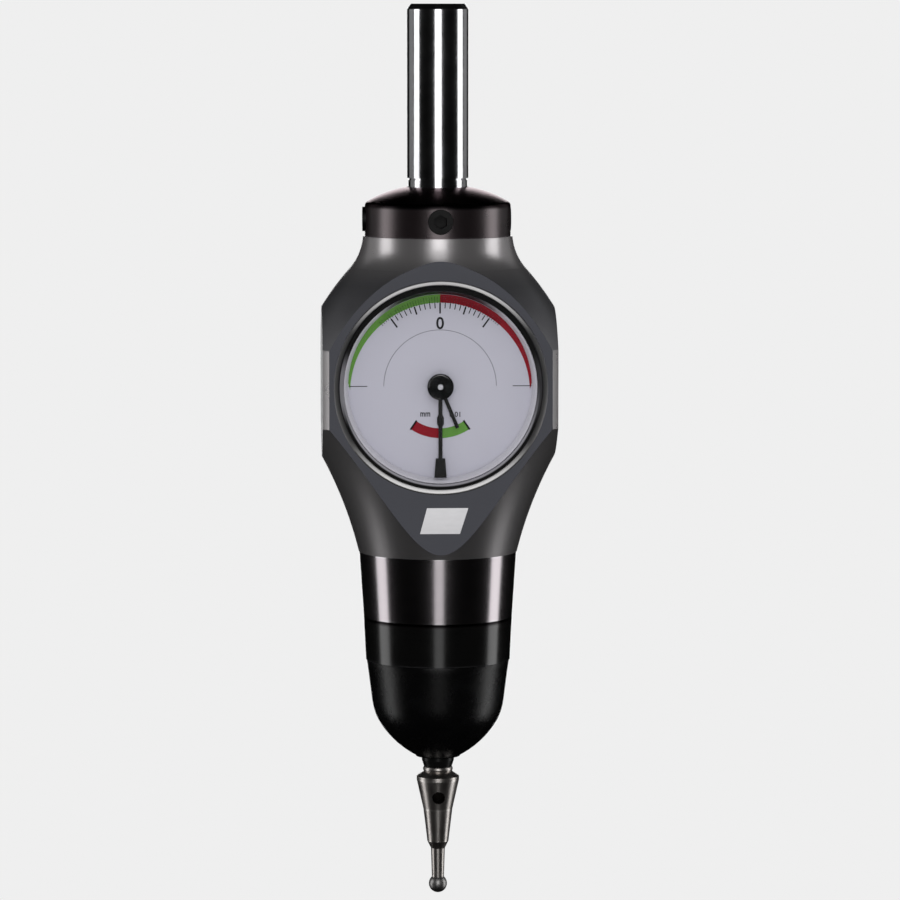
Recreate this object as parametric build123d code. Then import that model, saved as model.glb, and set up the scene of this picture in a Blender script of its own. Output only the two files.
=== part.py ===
from build123d import *
import math
import os

# Dial edge finder for a milling spindle, in millimetres. The tool axis is Z with the shank up, the dial
# faces -Y, and the origin is on the axis at the foot of the ground shank. A radius is taken from its axis.

# Shank, the part that a spindle collet grips
SHANK_DIA = 10.0
SHANK_LENGTH = 28.2
SHANK_CHAMFER_HEIGHT = 0.9
SHANK_CHAMFER_DEPTH = 0.6
GROOVE_WIDTH = 0.3
GROOVE_DEPTH = 0.35
RELIEF_DEPTH = 0.2
HEAD_DIA = 16.0

# Collar that holds the shank's head, and its four adjusting screws
HEAD_PLAY = 0.4
COLLAR_DROP = 1.5
CROWN_HEIGHT = 2.6
CROWN_RADIUS = 19.0
CROWN_EDGE = 0.8
BAND_HEIGHT = 5.35
ROOF_DEPTH = 3.2
SKIRT_WALL = 2.0
SKIRT_LENGTH = 3.2
SCREW_DIA = 4.0
SCREW_LENGTH = 3.9
SCREW_DROP = 2.6
SCREW_STANDOUT = 0.4
SOCKET_WIDTH = 2.0
SOCKET_DEPTH = 1.8

# Housing: a turned body cut by flats
NECK_STEP = 0.3
FLARE_HEIGHT = 5.05
FLARE_OUT = 2.0
FLARE_RADIUS = 9.0
SHOULDER_HEIGHT = 12.9
SHOULDER_RADIUS = 45.0
BELT_PROUD = 3.3
BELT_HEIGHT = 12.6
FLANK_HEIGHT = 21.15
FLANK_RADIUS = 67.0
FOOT_STEP = 0.2
FLAT_BORDER = 1.7
REAR_DEPTH = 13.2

# Dial opening in the housing
DIAL_DROP = 23.85
WINDOW_DIA = 32.6
WINDOW_CHAMFER = 1.0
CRYSTAL_INSET = 0.3
CRYSTAL_THICKNESS = 1.2
CRYSTAL_BEVEL = 0.5
SEAL_WALL = 0.65
SPACER_WALL = 1.35
SPACER_HEIGHT = 2.5
DIAL_THICKNESS = 0.5
CAVITY_WALL = 0.9
CAVITY_PAST_PLUNGER = 2.6
RING_CLEARANCE = 0.05

# Lower end: sleeve, clamp ring, seat and rubber boot
SLEEVE_STEP = 0.1
SLEEVE_TAPER = 0.7
SLEEVE_LENGTH = 10.7
SPIGOT_STEP = 1.95
SPIGOT_LENGTH = 7.9
WEB_THICKNESS = 3.0
TAIL_STEP = 1.7
TAIL_WALL = 2.0
TAIL_LENGTH = 3.4
CLAMP_LENGTH = 7.15
CLAMP_TAPER = 0.35
CLAMP_LIP = 1.95
CLAMP_FLANGE = 0.8
SEAT_REST = 0.9
SEAT_THICKNESS = 1.8
BOOT_STEP = 0.15
BOOT_TAPER = 1.1
BOOT_TAPER_LENGTH = 8.6
BOOT_DOME_LENGTH = 7.8
BOOT_DOME_RADIUS = 15.6
BOOT_MOUTH_DIA = 5.9
BOOT_CORNER_FILLET = 1.6
BOOT_WALL = 1.1

# Plunger, its bushes and the return spring
PLUNGER_DIA = 4.0
BUSH_WALL = 1.45
UPPER_BUSH_LENGTH = 6.3
BUSH_SINK = 0.2
LOWER_BUSH_TAIL = 2.0
BUSH_FLANGE = 1.0
BUSH_FLANGE_RIM = 0.6
LIFT_TRAVEL = 2.8
TRAVEL_SPARE = 0.8
SPRING_PLAY = 0.4
SPRING_WIRE = 0.8
SPRING_TURNS = 5
SPRING_COLLAR_RIM = 0.7
SPRING_COLLAR_HEIGHT = 1.8
SEAT_GAP = 0.08
RUN_CLEARANCE = 0.05
PASS_CLEARANCE = 0.5

# Cross joint that lets the probe tilt
PIVOT_BELOW_BOOT_TOP = 10.9
YOKE_HUB_WALL = 1.5
YOKE_HUB_HEIGHT = 3.4
YOKE_DROP = 4.0
ARM_REACH = 4.0
ARM_THICKNESS = 1.4
ARM_WIDTH = 3.0
ARM_PAST_PIN = 0.75
CROSS_PIN_DIA = 1.6
CROSS_BLOCK = 2.8
BRIDGE_HEIGHT = 1.0
BRIDGE_GAP = 0.9
STEM_DIA = 3.2
STEM_GRIP = 2.9

# Probe: collar at the mouth of the boot, insert and ball
MOUTH_PLAY = 0.3
PROBE_COLLAR_INSET = 0.35
PROBE_COLLAR_DROP = 1.6
PROBE_COLLAR_TAPER = 1.1
PROBE_FLANGE_RIM = 0.65
PROBE_FLANGE_HEIGHT = 0.6
INSERT_DIA = 7.0
INSERT_LIP = 0.8
INSERT_LIP_RADIUS = 0.6
INSERT_SHOULDER = 1.6
INSERT_BARREL = 0.6
INSERT_CONE = 4.9
INSERT_CONE_DIA = 4.8
INSERT_TAPER = 5.4
INSERT_TAPER_DIA = 3.5
INSERT_NECK = 1.2
INSERT_NECK_DIA = 2.3
STYLUS_LENGTH = 4.83
STYLUS_END_DIA = 2.0
TOMMY_HOLE_DIA = 2.0
TOMMY_HOLE_DROP = 4.9
TOMMY_HOLE_PAST_AXIS = 1.2
BALL_DIA = 3.0

# Movement plates and what holds them
FRONT_PLATE_SINK = 1.5
PLATE_RIM = 1.4
PLATE_THICKNESS = 0.8
PLATE_SPACE = 3.2
PLUNGER_GAP = 0.4
PILLAR_DIA = 2.4
POST_DIA = 3.2
PILLAR_INSET = 3.8
PILLAR_ANGLES = (50, 130, 200, 340)
PLATE_SCREW_DIA = 1.4
PLATE_SCREW_HEAD_DIA = 3.0
PLATE_SCREW_HEAD = 0.6
PLATE_SCREW_GRIP = 2.0

# Gear train from the plunger's rack to the two pointers
TURN_TRAVEL = 1.0
RACK_PINION_TEETH = 16
DRIVE_TEETH = 100
CENTRE_TEETH = 10
DRIVE_MODULE = 0.14
RACK_WIDTH = 2.4
RACK_SPARE_TEETH = 2
CANNON_TEETH = 10
COUNTER_WHEEL_TEETH = 40
COUNTER_PINION_TEETH = 8
HOUR_TEETH = 48
MOTION_CENTRES = 4.2
COUNTER_ANGLE = 120
GEAR_WIDTH = 0.4
PINION_WIDTH = 0.9
LAYER_GAP = 0.12
ARBOR_DIA = 0.9
PIVOT_DIA = 0.7
CANNON_DIA = 1.4
PIPE_DIA = 2.1
PIPE_CLEARANCE = 0.03
STUD_DIA = 0.8
COLLET_DIA = 2.0
HAIRSPRING_TURNS = 4
HAIRSPRING_PITCH = 0.6
HAIRSPRING_THICKNESS = 0.12
HAIRSPRING_WIDTH = 0.6

# Pointers
POINTER_THICKNESS = 0.25
POINTER_LIFT = 0.65
POINTER_GAP = 0.4
LONG_POINTER_GAP = 0.2
LONG_POINTER_WIDTH = 0.65
LONG_TIP_START = 11.6
LONG_TIP_WIDTH = 2.0
LONG_WAIST_START = 5.0
LONG_WAIST_WIDTH = 1.1
LONG_EYE_DIA = 3.6
SHORT_POINTER_REACH = 7.3
SHORT_POINTER_WIDTH = 0.6
SHORT_EYE_DIA = 3.2
SHORT_REST_ANGLE = 22.5
HUB_CAP_DIA = 4.3
HUB_CAP_HEIGHT = 0.6

# Heights along the tool axis, worked out from the lengths above
Z_CROWN = -COLLAR_DROP
Z_BAND = Z_CROWN - CROWN_HEIGHT
Z_NECK = Z_BAND - BAND_HEIGHT
Z_ROOF = Z_CROWN - ROOF_DEPTH
Z_FLOOR = Z_NECK - SKIRT_LENGTH
Z_FLARE = Z_NECK - FLARE_HEIGHT
Z_BELT = Z_FLARE - SHOULDER_HEIGHT
Z_FLANK = Z_BELT - BELT_HEIGHT
Z_FOOT = Z_FLANK - FLANK_HEIGHT
Z_SLEEVE_END = Z_FOOT - SLEEVE_LENGTH
Z_SPIGOT = Z_FOOT + SPIGOT_LENGTH
Z_WEB = Z_SPIGOT - WEB_THICKNESS
Z_TAIL = Z_SLEEVE_END - TAIL_LENGTH
Z_CLAMP_END = Z_SLEEVE_END - CLAMP_LENGTH
Z_FLANGE_END = Z_TAIL - CLAMP_FLANGE
Z_BOOT_CORNER = Z_CLAMP_END - BOOT_TAPER_LENGTH
Z_BOOT_MOUTH = Z_BOOT_CORNER - BOOT_DOME_LENGTH
Z_PIVOT = Z_CLAMP_END - PIVOT_BELOW_BOOT_TOP
Z_YOKE = Z_PIVOT + YOKE_DROP
Z_BRIDGE = Z_PIVOT - CROSS_BLOCK / 2 - BRIDGE_GAP - BRIDGE_HEIGHT
Z_INSERT = Z_BOOT_MOUTH - PROBE_COLLAR_DROP
Z_STEM_END = Z_INSERT - STEM_GRIP
Z_DIAL = Z_NECK - DIAL_DROP

# Planes along Y, from the plunger forwards to the front flat, and the cavity's floor behind it
PLUNGER_R = PLUNGER_DIA / 2
Y_REAR_BACK = -PLUNGER_R - PLUNGER_GAP
Y_REAR_PLATE = Y_REAR_BACK - PLATE_THICKNESS
Y_PLATE_BACK = Y_REAR_PLATE - PLATE_SPACE
Y_PLATE = Y_PLATE_BACK - PLATE_THICKNESS
Y_STEP = Y_PLATE - FRONT_PLATE_SINK
Y_DIAL = Y_STEP - DIAL_THICKNESS
Y_SPACER = Y_DIAL - SPACER_HEIGHT
Y_CRYSTAL = Y_SPACER - CRYSTAL_THICKNESS
Y_FRONT = Y_CRYSTAL - CRYSTAL_INSET
Y_CAVITY = PLUNGER_R + CAVITY_PAST_PLUNGER

# Radii round the tool axis, from the shank's head outwards and from the housing's foot inwards
HEAD_R = HEAD_DIA / 2
SKIRT_BORE_R = HEAD_R + HEAD_PLAY
SKIRT_R = SKIRT_BORE_R + SKIRT_WALL
COLLAR_R = HEAD_R + SCREW_LENGTH
NECK_R = COLLAR_R + NECK_STEP
FOOT_R = -Y_FRONT - FOOT_STEP
SLEEVE_TOP_R = FOOT_R - SLEEVE_STEP
SLEEVE_END_R = SLEEVE_TOP_R - SLEEVE_TAPER
SPIGOT_R = SLEEVE_TOP_R - SPIGOT_STEP
TAIL_R = SLEEVE_END_R - TAIL_STEP
SLEEVE_BORE_R = TAIL_R - TAIL_WALL
CLAMP_END_R = SLEEVE_END_R - CLAMP_TAPER
CLAMP_FLANGE_BORE_R = SLEEVE_BORE_R - SEAT_REST
BEAD_R = CLAMP_END_R - CLAMP_LIP
BOOT_TOP_R = CLAMP_END_R - BOOT_STEP
BOOT_CORNER_R = BOOT_TOP_R - BOOT_TAPER
BUSH_R = PLUNGER_R + RUN_CLEARANCE + BUSH_WALL
SPRING_R = BUSH_R + SPRING_PLAY + SPRING_WIRE
PROBE_COLLAR_TOP_R = BOOT_MOUTH_DIA / 2 - MOUTH_PLAY
PROBE_COLLAR_END_R = PROBE_COLLAR_TOP_R - PROBE_COLLAR_INSET

# Radii round the dial's axis, and the flats left and right of it
WINDOW_R = WINDOW_DIA / 2
CAVITY_R = WINDOW_R - CAVITY_WALL
CRYSTAL_R = WINDOW_R - SEAL_WALL
SPACER_BORE_R = WINDOW_R - SPACER_WALL
PILLAR_R = CAVITY_R - PILLAR_INSET
PLATE_R = PILLAR_R + PLATE_RIM
X_FLAT = WINDOW_R + WINDOW_CHAMFER + FLAT_BORDER
BELT_R = X_FLAT + BELT_PROUD

# Gear geometry: one turn of the long pointer for each TURN_TRAVEL of the plunger
RACK_PINION_R = TURN_TRAVEL * DRIVE_TEETH / CENTRE_TEETH / math.tau
RACK_MODULE = 2 * RACK_PINION_R / RACK_PINION_TEETH
RACK_PITCH = math.pi * RACK_MODULE
RACK_LINE_X = -(PLUNGER_R - 3.5 * RACK_MODULE)
DRIVE_X = RACK_LINE_X - RACK_PINION_R
DRIVE_CENTRES = DRIVE_MODULE * (DRIVE_TEETH + CENTRE_TEETH) / 2
DRIVE_Z = Z_DIAL - math.sqrt(DRIVE_CENTRES**2 - DRIVE_X**2)
DRIVE_ANGLE = math.degrees(math.atan2(Z_DIAL - DRIVE_Z, -DRIVE_X))
CANNON_MODULE = 2 * MOTION_CENTRES / (CANNON_TEETH + COUNTER_WHEEL_TEETH)
HOUR_MODULE = 2 * MOTION_CENTRES / (COUNTER_PINION_TEETH + HOUR_TEETH)
COUNTER_X = MOTION_CENTRES * math.cos(math.radians(COUNTER_ANGLE))
COUNTER_Z = Z_DIAL + MOTION_CENTRES * math.sin(math.radians(COUNTER_ANGLE))
TOOTH_ROOT_SHARE = 1.12
TOOTH_TIP_SHARE = 0.5

# Layers of the movement along Y
Y_CANNON = Y_PLATE - LAYER_GAP - GEAR_WIDTH
Y_HOUR = Y_CANNON - LAYER_GAP - GEAR_WIDTH
Y_SHORT = Y_DIAL - POINTER_LIFT - POINTER_THICKNESS
Y_LONG = Y_SHORT - POINTER_GAP - POINTER_THICKNESS
Y_CAP = Y_LONG - HUB_CAP_HEIGHT
Y_DRIVE = Y_PLATE_BACK + 2 * LAYER_GAP + PINION_WIDTH / 2 - GEAR_WIDTH / 2
Y_CENTRE_PINION = Y_PLATE_BACK + 2 * LAYER_GAP
Y_HAIRSPRING = Y_CENTRE_PINION + PINION_WIDTH + 2 * LAYER_GAP

MIN_END = (Align.CENTER, Align.CENTER, Align.MIN)
FRONT_END = (Align.CENTER, Align.MIN, Align.CENTER)


def turned(*edges):
    """Solid of revolution about Z from joined edges drawn as (radius, height)."""
    return revolve(Plane.XZ * make_face(Curve() + list(edges)), Axis.Z)


def turned_points(*points):
    """Solid of revolution about Z from a closed outline of (radius, height) points."""
    return turned(Polyline(*points, close=True))


def rod(radius, z_low, z_high):
    """Cylinder on the tool axis."""
    return Pos(0, 0, z_low) * Cylinder(radius, z_high - z_low, align=MIN_END)


def tube(outer, inner, z_low, z_high):
    """Ring on the tool axis."""
    return rod(outer, z_low, z_high) - rod(inner, z_low, z_high)


def disc(radius, y_front, y_back, x=0.0, z=Z_DIAL):
    """Cylinder along Y between two planes."""
    return Pos(x, y_front, z) * Rot(-90, 0, 0) * Cylinder(radius, y_back - y_front, align=MIN_END)


def ring(outer, inner, y_front, y_back, x=0.0, z=Z_DIAL):
    """Ring along Y between two planes."""
    return disc(outer, y_front, y_back, x, z) - disc(inner, y_front, y_back, x, z)


def slab(outline, y_front, y_back):
    """Plate along Y from closed outline points (x, z)."""
    face = Plane.XZ * make_face(Polyline(*outline, close=True))
    return Pos(0, y_back, 0) * extrude(face, y_back - y_front)


def polar(radius, degrees, x=0.0, z=0.0):
    """Point at a radius and angle, counted from +X towards +Z."""
    return (x + radius * math.cos(math.radians(degrees)), z + radius * math.sin(math.radians(degrees)))


def gear(teeth, module, x, z, y_front, width, tooth_angle):
    """Toothed disc along Y with one tooth centred on tooth_angle."""
    radius = teeth * module / 2
    half = 90.0 / teeth
    outline = []
    for k in range(teeth):
        at = tooth_angle + 360.0 * k / teeth
        outline += [
            polar(radius - 1.25 * module, at - TOOTH_ROOT_SHARE * half, x, z),
            polar(radius + 0.9 * module, at - TOOTH_TIP_SHARE * half, x, z),
            polar(radius + 0.9 * module, at + TOOTH_TIP_SHARE * half, x, z),
            polar(radius - 1.25 * module, at + TOOTH_ROOT_SHARE * half, x, z),
        ]
    return slab(outline, y_front, y_front + width)


def facing_gap(teeth, angle):
    """Angle of a tooth beside the gap that is centred on the given angle."""
    return angle + 180.0 / teeth


def pillar_places():
    """Centres (x, z) of the movement's pillars."""
    return [polar(PILLAR_R, a, 0, Z_DIAL) for a in PILLAR_ANGLES]


def on_pillars(make):
    """One solid for each pillar place, from a function of its centre."""
    return Compound(children=[make(x, z).solids()[0] for x, z in pillar_places()])


def drilled(body, radius, y_front, y_back):
    """Body with a hole along Y at each pillar place."""
    for x, z in pillar_places():
        body -= disc(radius, y_front, y_back, x, z)
    return body


def shank():
    """Ground shank with its relief, groove and the flat head that the collar traps."""
    r = SHANK_DIA / 2
    relief = r - RELIEF_DEPTH
    head_top = Z_ROOF - RUN_CLEARANCE
    return turned_points(
        (0, SHANK_LENGTH),
        (r - SHANK_CHAMFER_DEPTH, SHANK_LENGTH),
        (r, SHANK_LENGTH - SHANK_CHAMFER_HEIGHT),
        (r, 0),
        (r - GROOVE_DEPTH, 0),
        (r - GROOVE_DEPTH, -GROOVE_WIDTH),
        (relief, -GROOVE_WIDTH),
        (relief, head_top),
        (HEAD_R, head_top),
        (HEAD_R, Z_FLOOR),
        (0, Z_FLOOR),
    )


def screw_places():
    """Angle and outward offset of each adjusting screw."""
    return [(0, 0.0), (90, 0.0), (180, SCREW_STANDOUT), (270, 0.0)]


def collar():
    """Domed clamp collar, threaded into the housing's neck."""
    r, bore = COLLAR_R, SHANK_DIA / 2 + RUN_CLEARANCE
    skirt, inner = SKIRT_R, SKIRT_BORE_R
    body = turned(
        RadiusArc((bore, Z_CROWN), (r, Z_BAND), CROWN_RADIUS),
        Polyline((r, Z_BAND), (r, Z_NECK), (skirt, Z_NECK), (skirt, Z_FLOOR), (inner, Z_FLOOR)),
        Polyline((inner, Z_FLOOR), (inner, Z_ROOF), (bore, Z_ROOF), (bore, Z_CROWN)),
    )
    edge = body.edges().filter_by(GeomType.CIRCLE).filter_by(lambda e: abs(e.center().Z - Z_BAND) < 1e-6)
    body = fillet(edge, CROWN_EDGE)
    for angle, _ in screw_places():
        hole = Cylinder(SCREW_DIA / 2 + RUN_CLEARANCE, COLLAR_R, align=MIN_END)
        body -= Rot(0, 0, angle) * Pos(HEAD_R / 2, 0, Z_BAND - SCREW_DROP) * Rot(0, 90, 0) * hole
    return body


def adjusting_screws():
    """Four grub screws with hexagon sockets; the left one is backed out a little."""
    screw = Cylinder(SCREW_DIA / 2, SCREW_LENGTH, align=MIN_END)
    socket = extrude(RegularPolygon(SOCKET_WIDTH / 2, 6, major_radius=False), SOCKET_DEPTH)
    screw -= Pos(0, 0, SCREW_LENGTH - SOCKET_DEPTH) * socket
    out = []
    for angle, offset in screw_places():
        place = Rot(0, 0, angle) * Pos(HEAD_R + offset, 0, Z_BAND - SCREW_DROP) * Rot(0, 90, 0)
        out.append((place * screw).solids()[0])
    return Compound(children=out)


def housing_body():
    """Turned and milled casing: flared shoulder, belt, hollow flank and four flats."""
    neck, belt, foot = NECK_R, BELT_R, FOOT_R
    flare = neck + FLARE_OUT
    body = turned(
        Line((0, Z_NECK), (neck, Z_NECK)),
        RadiusArc((neck, Z_NECK), (flare, Z_FLARE), -FLARE_RADIUS),
        RadiusArc((flare, Z_FLARE), (belt, Z_BELT), SHOULDER_RADIUS),
        Line((belt, Z_BELT), (belt, Z_FLANK)),
        RadiusArc((belt, Z_FLANK), (foot, Z_FOOT), -FLANK_RADIUS),
        Polyline((foot, Z_FOOT), (0, Z_FOOT), (0, Z_NECK)),
    )
    flats = Box(2 * X_FLAT, REAR_DEPTH - Y_FRONT, 4 * FLANK_HEIGHT, align=FRONT_END)
    body &= Pos(0, Y_FRONT, Z_DIAL) * flats
    body -= rod(SKIRT_R + RUN_CLEARANCE, Z_FLOOR, Z_NECK)
    body -= rod(BUSH_R, Z_DIAL, Z_FLOOR)
    body -= rod(PLUNGER_R + PASS_CLEARANCE, Z_FOOT, Z_DIAL)
    body -= rod(SPIGOT_R + RUN_CLEARANCE, Z_FOOT, Z_SPIGOT)
    body -= disc(WINDOW_R, Y_FRONT, Y_STEP)
    mouth = Cone(WINDOW_R, WINDOW_R + WINDOW_CHAMFER, WINDOW_CHAMFER, align=MIN_END)
    body -= Pos(0, Y_FRONT + WINDOW_CHAMFER, Z_DIAL) * Rot(90, 0, 0) * mouth
    body -= disc(CAVITY_R, Y_STEP, Y_CAVITY)
    return body


def sleeve():
    """Black sleeve below the housing, with a spigot, a web for the bush and a threaded tail."""
    return turned_points(
        (BUSH_R, Z_SPIGOT),
        (SPIGOT_R, Z_SPIGOT),
        (SPIGOT_R, Z_FOOT),
        (SLEEVE_TOP_R, Z_FOOT),
        (SLEEVE_END_R, Z_SLEEVE_END),
        (TAIL_R, Z_SLEEVE_END),
        (TAIL_R, Z_TAIL),
        (SLEEVE_BORE_R, Z_TAIL),
        (SLEEVE_BORE_R, Z_WEB),
        (BUSH_R, Z_WEB),
    )


def clamp_ring():
    """Ring nut on the sleeve's tail; its flange holds the seat and its mouth the boot's bead."""
    tail, socket = TAIL_R + RUN_CLEARANCE, BEAD_R + RUN_CLEARANCE
    return turned_points(
        (tail, Z_SLEEVE_END),
        (SLEEVE_END_R, Z_SLEEVE_END),
        (CLAMP_END_R, Z_CLAMP_END),
        (socket, Z_CLAMP_END),
        (socket, Z_FLANGE_END),
        (CLAMP_FLANGE_BORE_R, Z_FLANGE_END),
        (CLAMP_FLANGE_BORE_R, Z_TAIL),
        (tail, Z_TAIL),
    )


def seat_ring():
    """Flat seat that the spring collar rests on."""
    outer, inner = SLEEVE_BORE_R - RUN_CLEARANCE, PLUNGER_R + PASS_CLEARANCE
    return tube(outer, inner, Z_TAIL, Z_TAIL + SEAT_THICKNESS)


def boot():
    """Rubber boot: tapered wall, rounded corner and domed end with a mouth for the probe."""
    top, corner, mouth = BOOT_TOP_R, BOOT_CORNER_R, BOOT_MOUTH_DIA / 2
    bead, wall = BEAD_R, BOOT_WALL
    outside = turned(
        Line((0, Z_CLAMP_END), (top, Z_CLAMP_END)),
        Line((top, Z_CLAMP_END), (corner, Z_BOOT_CORNER)),
        RadiusArc((corner, Z_BOOT_CORNER), (mouth, Z_BOOT_MOUTH), BOOT_DOME_RADIUS),
        Polyline((mouth, Z_BOOT_MOUTH), (0, Z_BOOT_MOUTH), (0, Z_CLAMP_END)),
    )
    inside = turned(
        Line((0, Z_CLAMP_END), (bead - wall, Z_CLAMP_END)),
        Line((bead - wall, Z_CLAMP_END), (corner - wall, Z_BOOT_CORNER)),
        RadiusArc((corner - wall, Z_BOOT_CORNER), (mouth, Z_BOOT_MOUTH + wall), BOOT_DOME_RADIUS),
        Polyline((mouth, Z_BOOT_MOUTH + wall), (0, Z_BOOT_MOUTH + wall), (0, Z_CLAMP_END)),
    )
    outside = fillet(circles_at(outside, Z_BOOT_CORNER), BOOT_CORNER_FILLET)
    shell = outside - inside - rod(mouth, Z_BOOT_MOUTH, Z_CLAMP_END)
    return shell + tube(bead, bead - wall, Z_CLAMP_END, Z_FLANGE_END - RUN_CLEARANCE)


def circles_at(body, height):
    """Round edges of a turned body at one height."""
    return body.edges().filter_by(GeomType.CIRCLE).filter_by(lambda e: abs(e.center().Z - height) < 1e-6)


def upper_bush():
    """Guide for the plunger's top end, pressed into the housing."""
    top = Z_FLOOR - BUSH_SINK
    return tube(BUSH_R, PLUNGER_R + RUN_CLEARANCE, top - UPPER_BUSH_LENGTH, top)


def lower_bush():
    """Flanged guide pressed into the sleeve's web; its flange carries the return spring."""
    bore, rim = PLUNGER_R + RUN_CLEARANCE, SPRING_R + BUSH_FLANGE_RIM
    flange = Z_WEB - BUSH_FLANGE
    return turned_points(
        (bore, Z_SPIGOT),
        (BUSH_R, Z_SPIGOT),
        (BUSH_R, Z_WEB),
        (rim, Z_WEB),
        (rim, flange),
        (BUSH_R, flange),
        (BUSH_R, flange - LOWER_BUSH_TAIL),
        (bore, flange - LOWER_BUSH_TAIL),
    )


def collar_top():
    """Height of the spring collar's upper face at rest."""
    return Z_TAIL + SEAT_THICKNESS + SEAT_GAP + SPRING_COLLAR_HEIGHT


def plunger():
    """Sliding rod with a rack cut in its left side."""
    top = Z_FLOOR - BUSH_SINK - LIFT_TRAVEL - TRAVEL_SPARE
    body = rod(PLUNGER_R, Z_YOKE, top)
    tip_x = RACK_LINE_X - 0.9 * RACK_MODULE
    root_x = RACK_LINE_X + 1.25 * RACK_MODULE
    slots = math.ceil(LIFT_TRAVEL / RACK_PITCH) + 2 * RACK_SPARE_TEETH
    flat_high = DRIVE_Z + (RACK_SPARE_TEETH + 1.5) * RACK_PITCH
    flat_low = DRIVE_Z - (slots - RACK_SPARE_TEETH + 0.5) * RACK_PITCH
    flat = Box(PLUNGER_R, PLUNGER_DIA, flat_high - flat_low, align=(Align.MAX, Align.CENTER, Align.MIN))
    body -= Pos(tip_x, 0, flat_low) * flat
    for k in range(slots):
        z = DRIVE_Z + (RACK_SPARE_TEETH - k) * RACK_PITCH
        body -= slab(rack_slot(root_x, tip_x, z), -PLUNGER_R, PLUNGER_R)
    return body


def rack_slot(root_x, tip_x, z):
    """Outline of one gap between rack teeth."""
    root = RACK_PITCH * (1 - TOOTH_ROOT_SHARE / 2) / 2
    tip = RACK_PITCH * (1 - TOOTH_TIP_SHARE / 2) / 2
    return [(root_x, z - root), (tip_x, z - tip), (tip_x, z + tip), (root_x, z + root)]


def spring_collar():
    """Disc fixed to the plunger under the return spring."""
    top = collar_top()
    return tube(SPRING_R + SPRING_COLLAR_RIM, PLUNGER_R, top - SPRING_COLLAR_HEIGHT, top)


def return_spring():
    """Compression spring of square wire between the lower bush and the spring collar."""
    high, low = Z_WEB - BUSH_FLANGE, collar_top()
    length = high - low - SPRING_WIRE - 2 * SEAT_GAP
    path = Helix(length / SPRING_TURNS, length, SPRING_R - SPRING_WIRE / 2)
    start = Plane(path @ 0, x_dir=(0, 0, 1), z_dir=path % 0)
    wire = sweep(start * Rectangle(SPRING_WIRE, SPRING_WIRE), path, is_frenet=True)
    return Pos(0, 0, low + SEAT_GAP + SPRING_WIRE / 2) * wire


def arm_pair(z_low, z_high, turn):
    """Two arms of a yoke, one each side of the tool axis."""
    arm = Box(ARM_THICKNESS, ARM_WIDTH, z_high - z_low, align=(Align.MAX, Align.CENTER, Align.MIN))
    pair = Pos(ARM_REACH, 0, z_low) * arm + Rot(0, 0, 180) * Pos(ARM_REACH, 0, z_low) * arm
    return Rot(0, 0, turn) * pair


def pin_bore(turn):
    """Round bar through both arms of a yoke at the pivot's height."""
    bar = Cylinder(CROSS_PIN_DIA / 2 + RUN_CLEARANCE, 3 * ARM_REACH)
    return Rot(0, 0, turn) * Pos(0, 0, Z_PIVOT) * Rot(0, 90, 0) * bar


def upper_yoke():
    """Fork on the plunger's lower end, with its arms left and right."""
    below = Z_PIVOT - CROSS_PIN_DIA / 2 - ARM_PAST_PIN
    hub = tube(PLUNGER_R + YOKE_HUB_WALL, PLUNGER_R, Z_YOKE, Z_YOKE + YOKE_HUB_HEIGHT)
    bar = Box(2 * ARM_REACH, ARM_WIDTH, BRIDGE_HEIGHT, align=(Align.CENTER, Align.CENTER, Align.MAX))
    body = hub + Pos(0, 0, Z_YOKE) * bar + arm_pair(below, Z_YOKE - BRIDGE_HEIGHT, 0)
    return body - pin_bore(0)


def joint_cross():
    """Cross with four trunnions between the two yokes."""
    block = Pos(0, 0, Z_PIVOT) * Box(CROSS_BLOCK, CROSS_BLOCK, CROSS_BLOCK)
    trunnion = Cylinder(CROSS_PIN_DIA / 2, 2 * ARM_REACH)
    for turn in (0, 90):
        block += Rot(0, 0, turn) * Pos(0, 0, Z_PIVOT) * Rot(0, 90, 0) * trunnion
    return block


def lower_yoke():
    """Probe holder: fork with its arms front and back, and the stem for the insert."""
    above = Z_PIVOT + CROSS_PIN_DIA / 2 + ARM_PAST_PIN
    bar = Box(ARM_WIDTH, 2 * ARM_REACH, BRIDGE_HEIGHT, align=(Align.CENTER, Align.CENTER, Align.MIN))
    body = arm_pair(Z_BRIDGE + BRIDGE_HEIGHT, above, 90) + Pos(0, 0, Z_BRIDGE) * bar
    return body - pin_bore(90) + rod(STEM_DIA / 2, Z_STEM_END, Z_BRIDGE)


def probe_collar():
    """Black collar between the boot's mouth and the insert, with a flange inside the boot."""
    top, end, bore = PROBE_COLLAR_TOP_R, PROBE_COLLAR_END_R, STEM_DIA / 2
    flange, flange_low = top + PROBE_FLANGE_RIM, Z_BRIDGE - PROBE_FLANGE_HEIGHT
    return turned_points(
        (bore, Z_BRIDGE),
        (flange, Z_BRIDGE),
        (flange, flange_low),
        (top, flange_low),
        (top, Z_INSERT + PROBE_COLLAR_TAPER),
        (end, Z_INSERT),
        (bore, Z_INSERT),
    )


def insert_levels():
    """Heights of the insert's steps, from its seat on the probe collar downwards."""
    levels = [Z_INSERT]
    for step in (INSERT_SHOULDER, INSERT_BARREL, INSERT_CONE, INSERT_TAPER, INSERT_NECK, STYLUS_LENGTH):
        levels.append(levels[-1] - step)
    return levels


def ball_height():
    """Height of the probe ball's centre."""
    return insert_levels()[-1] - math.sqrt((BALL_DIA / 2) ** 2 - (STYLUS_END_DIA / 2) ** 2)


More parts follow.
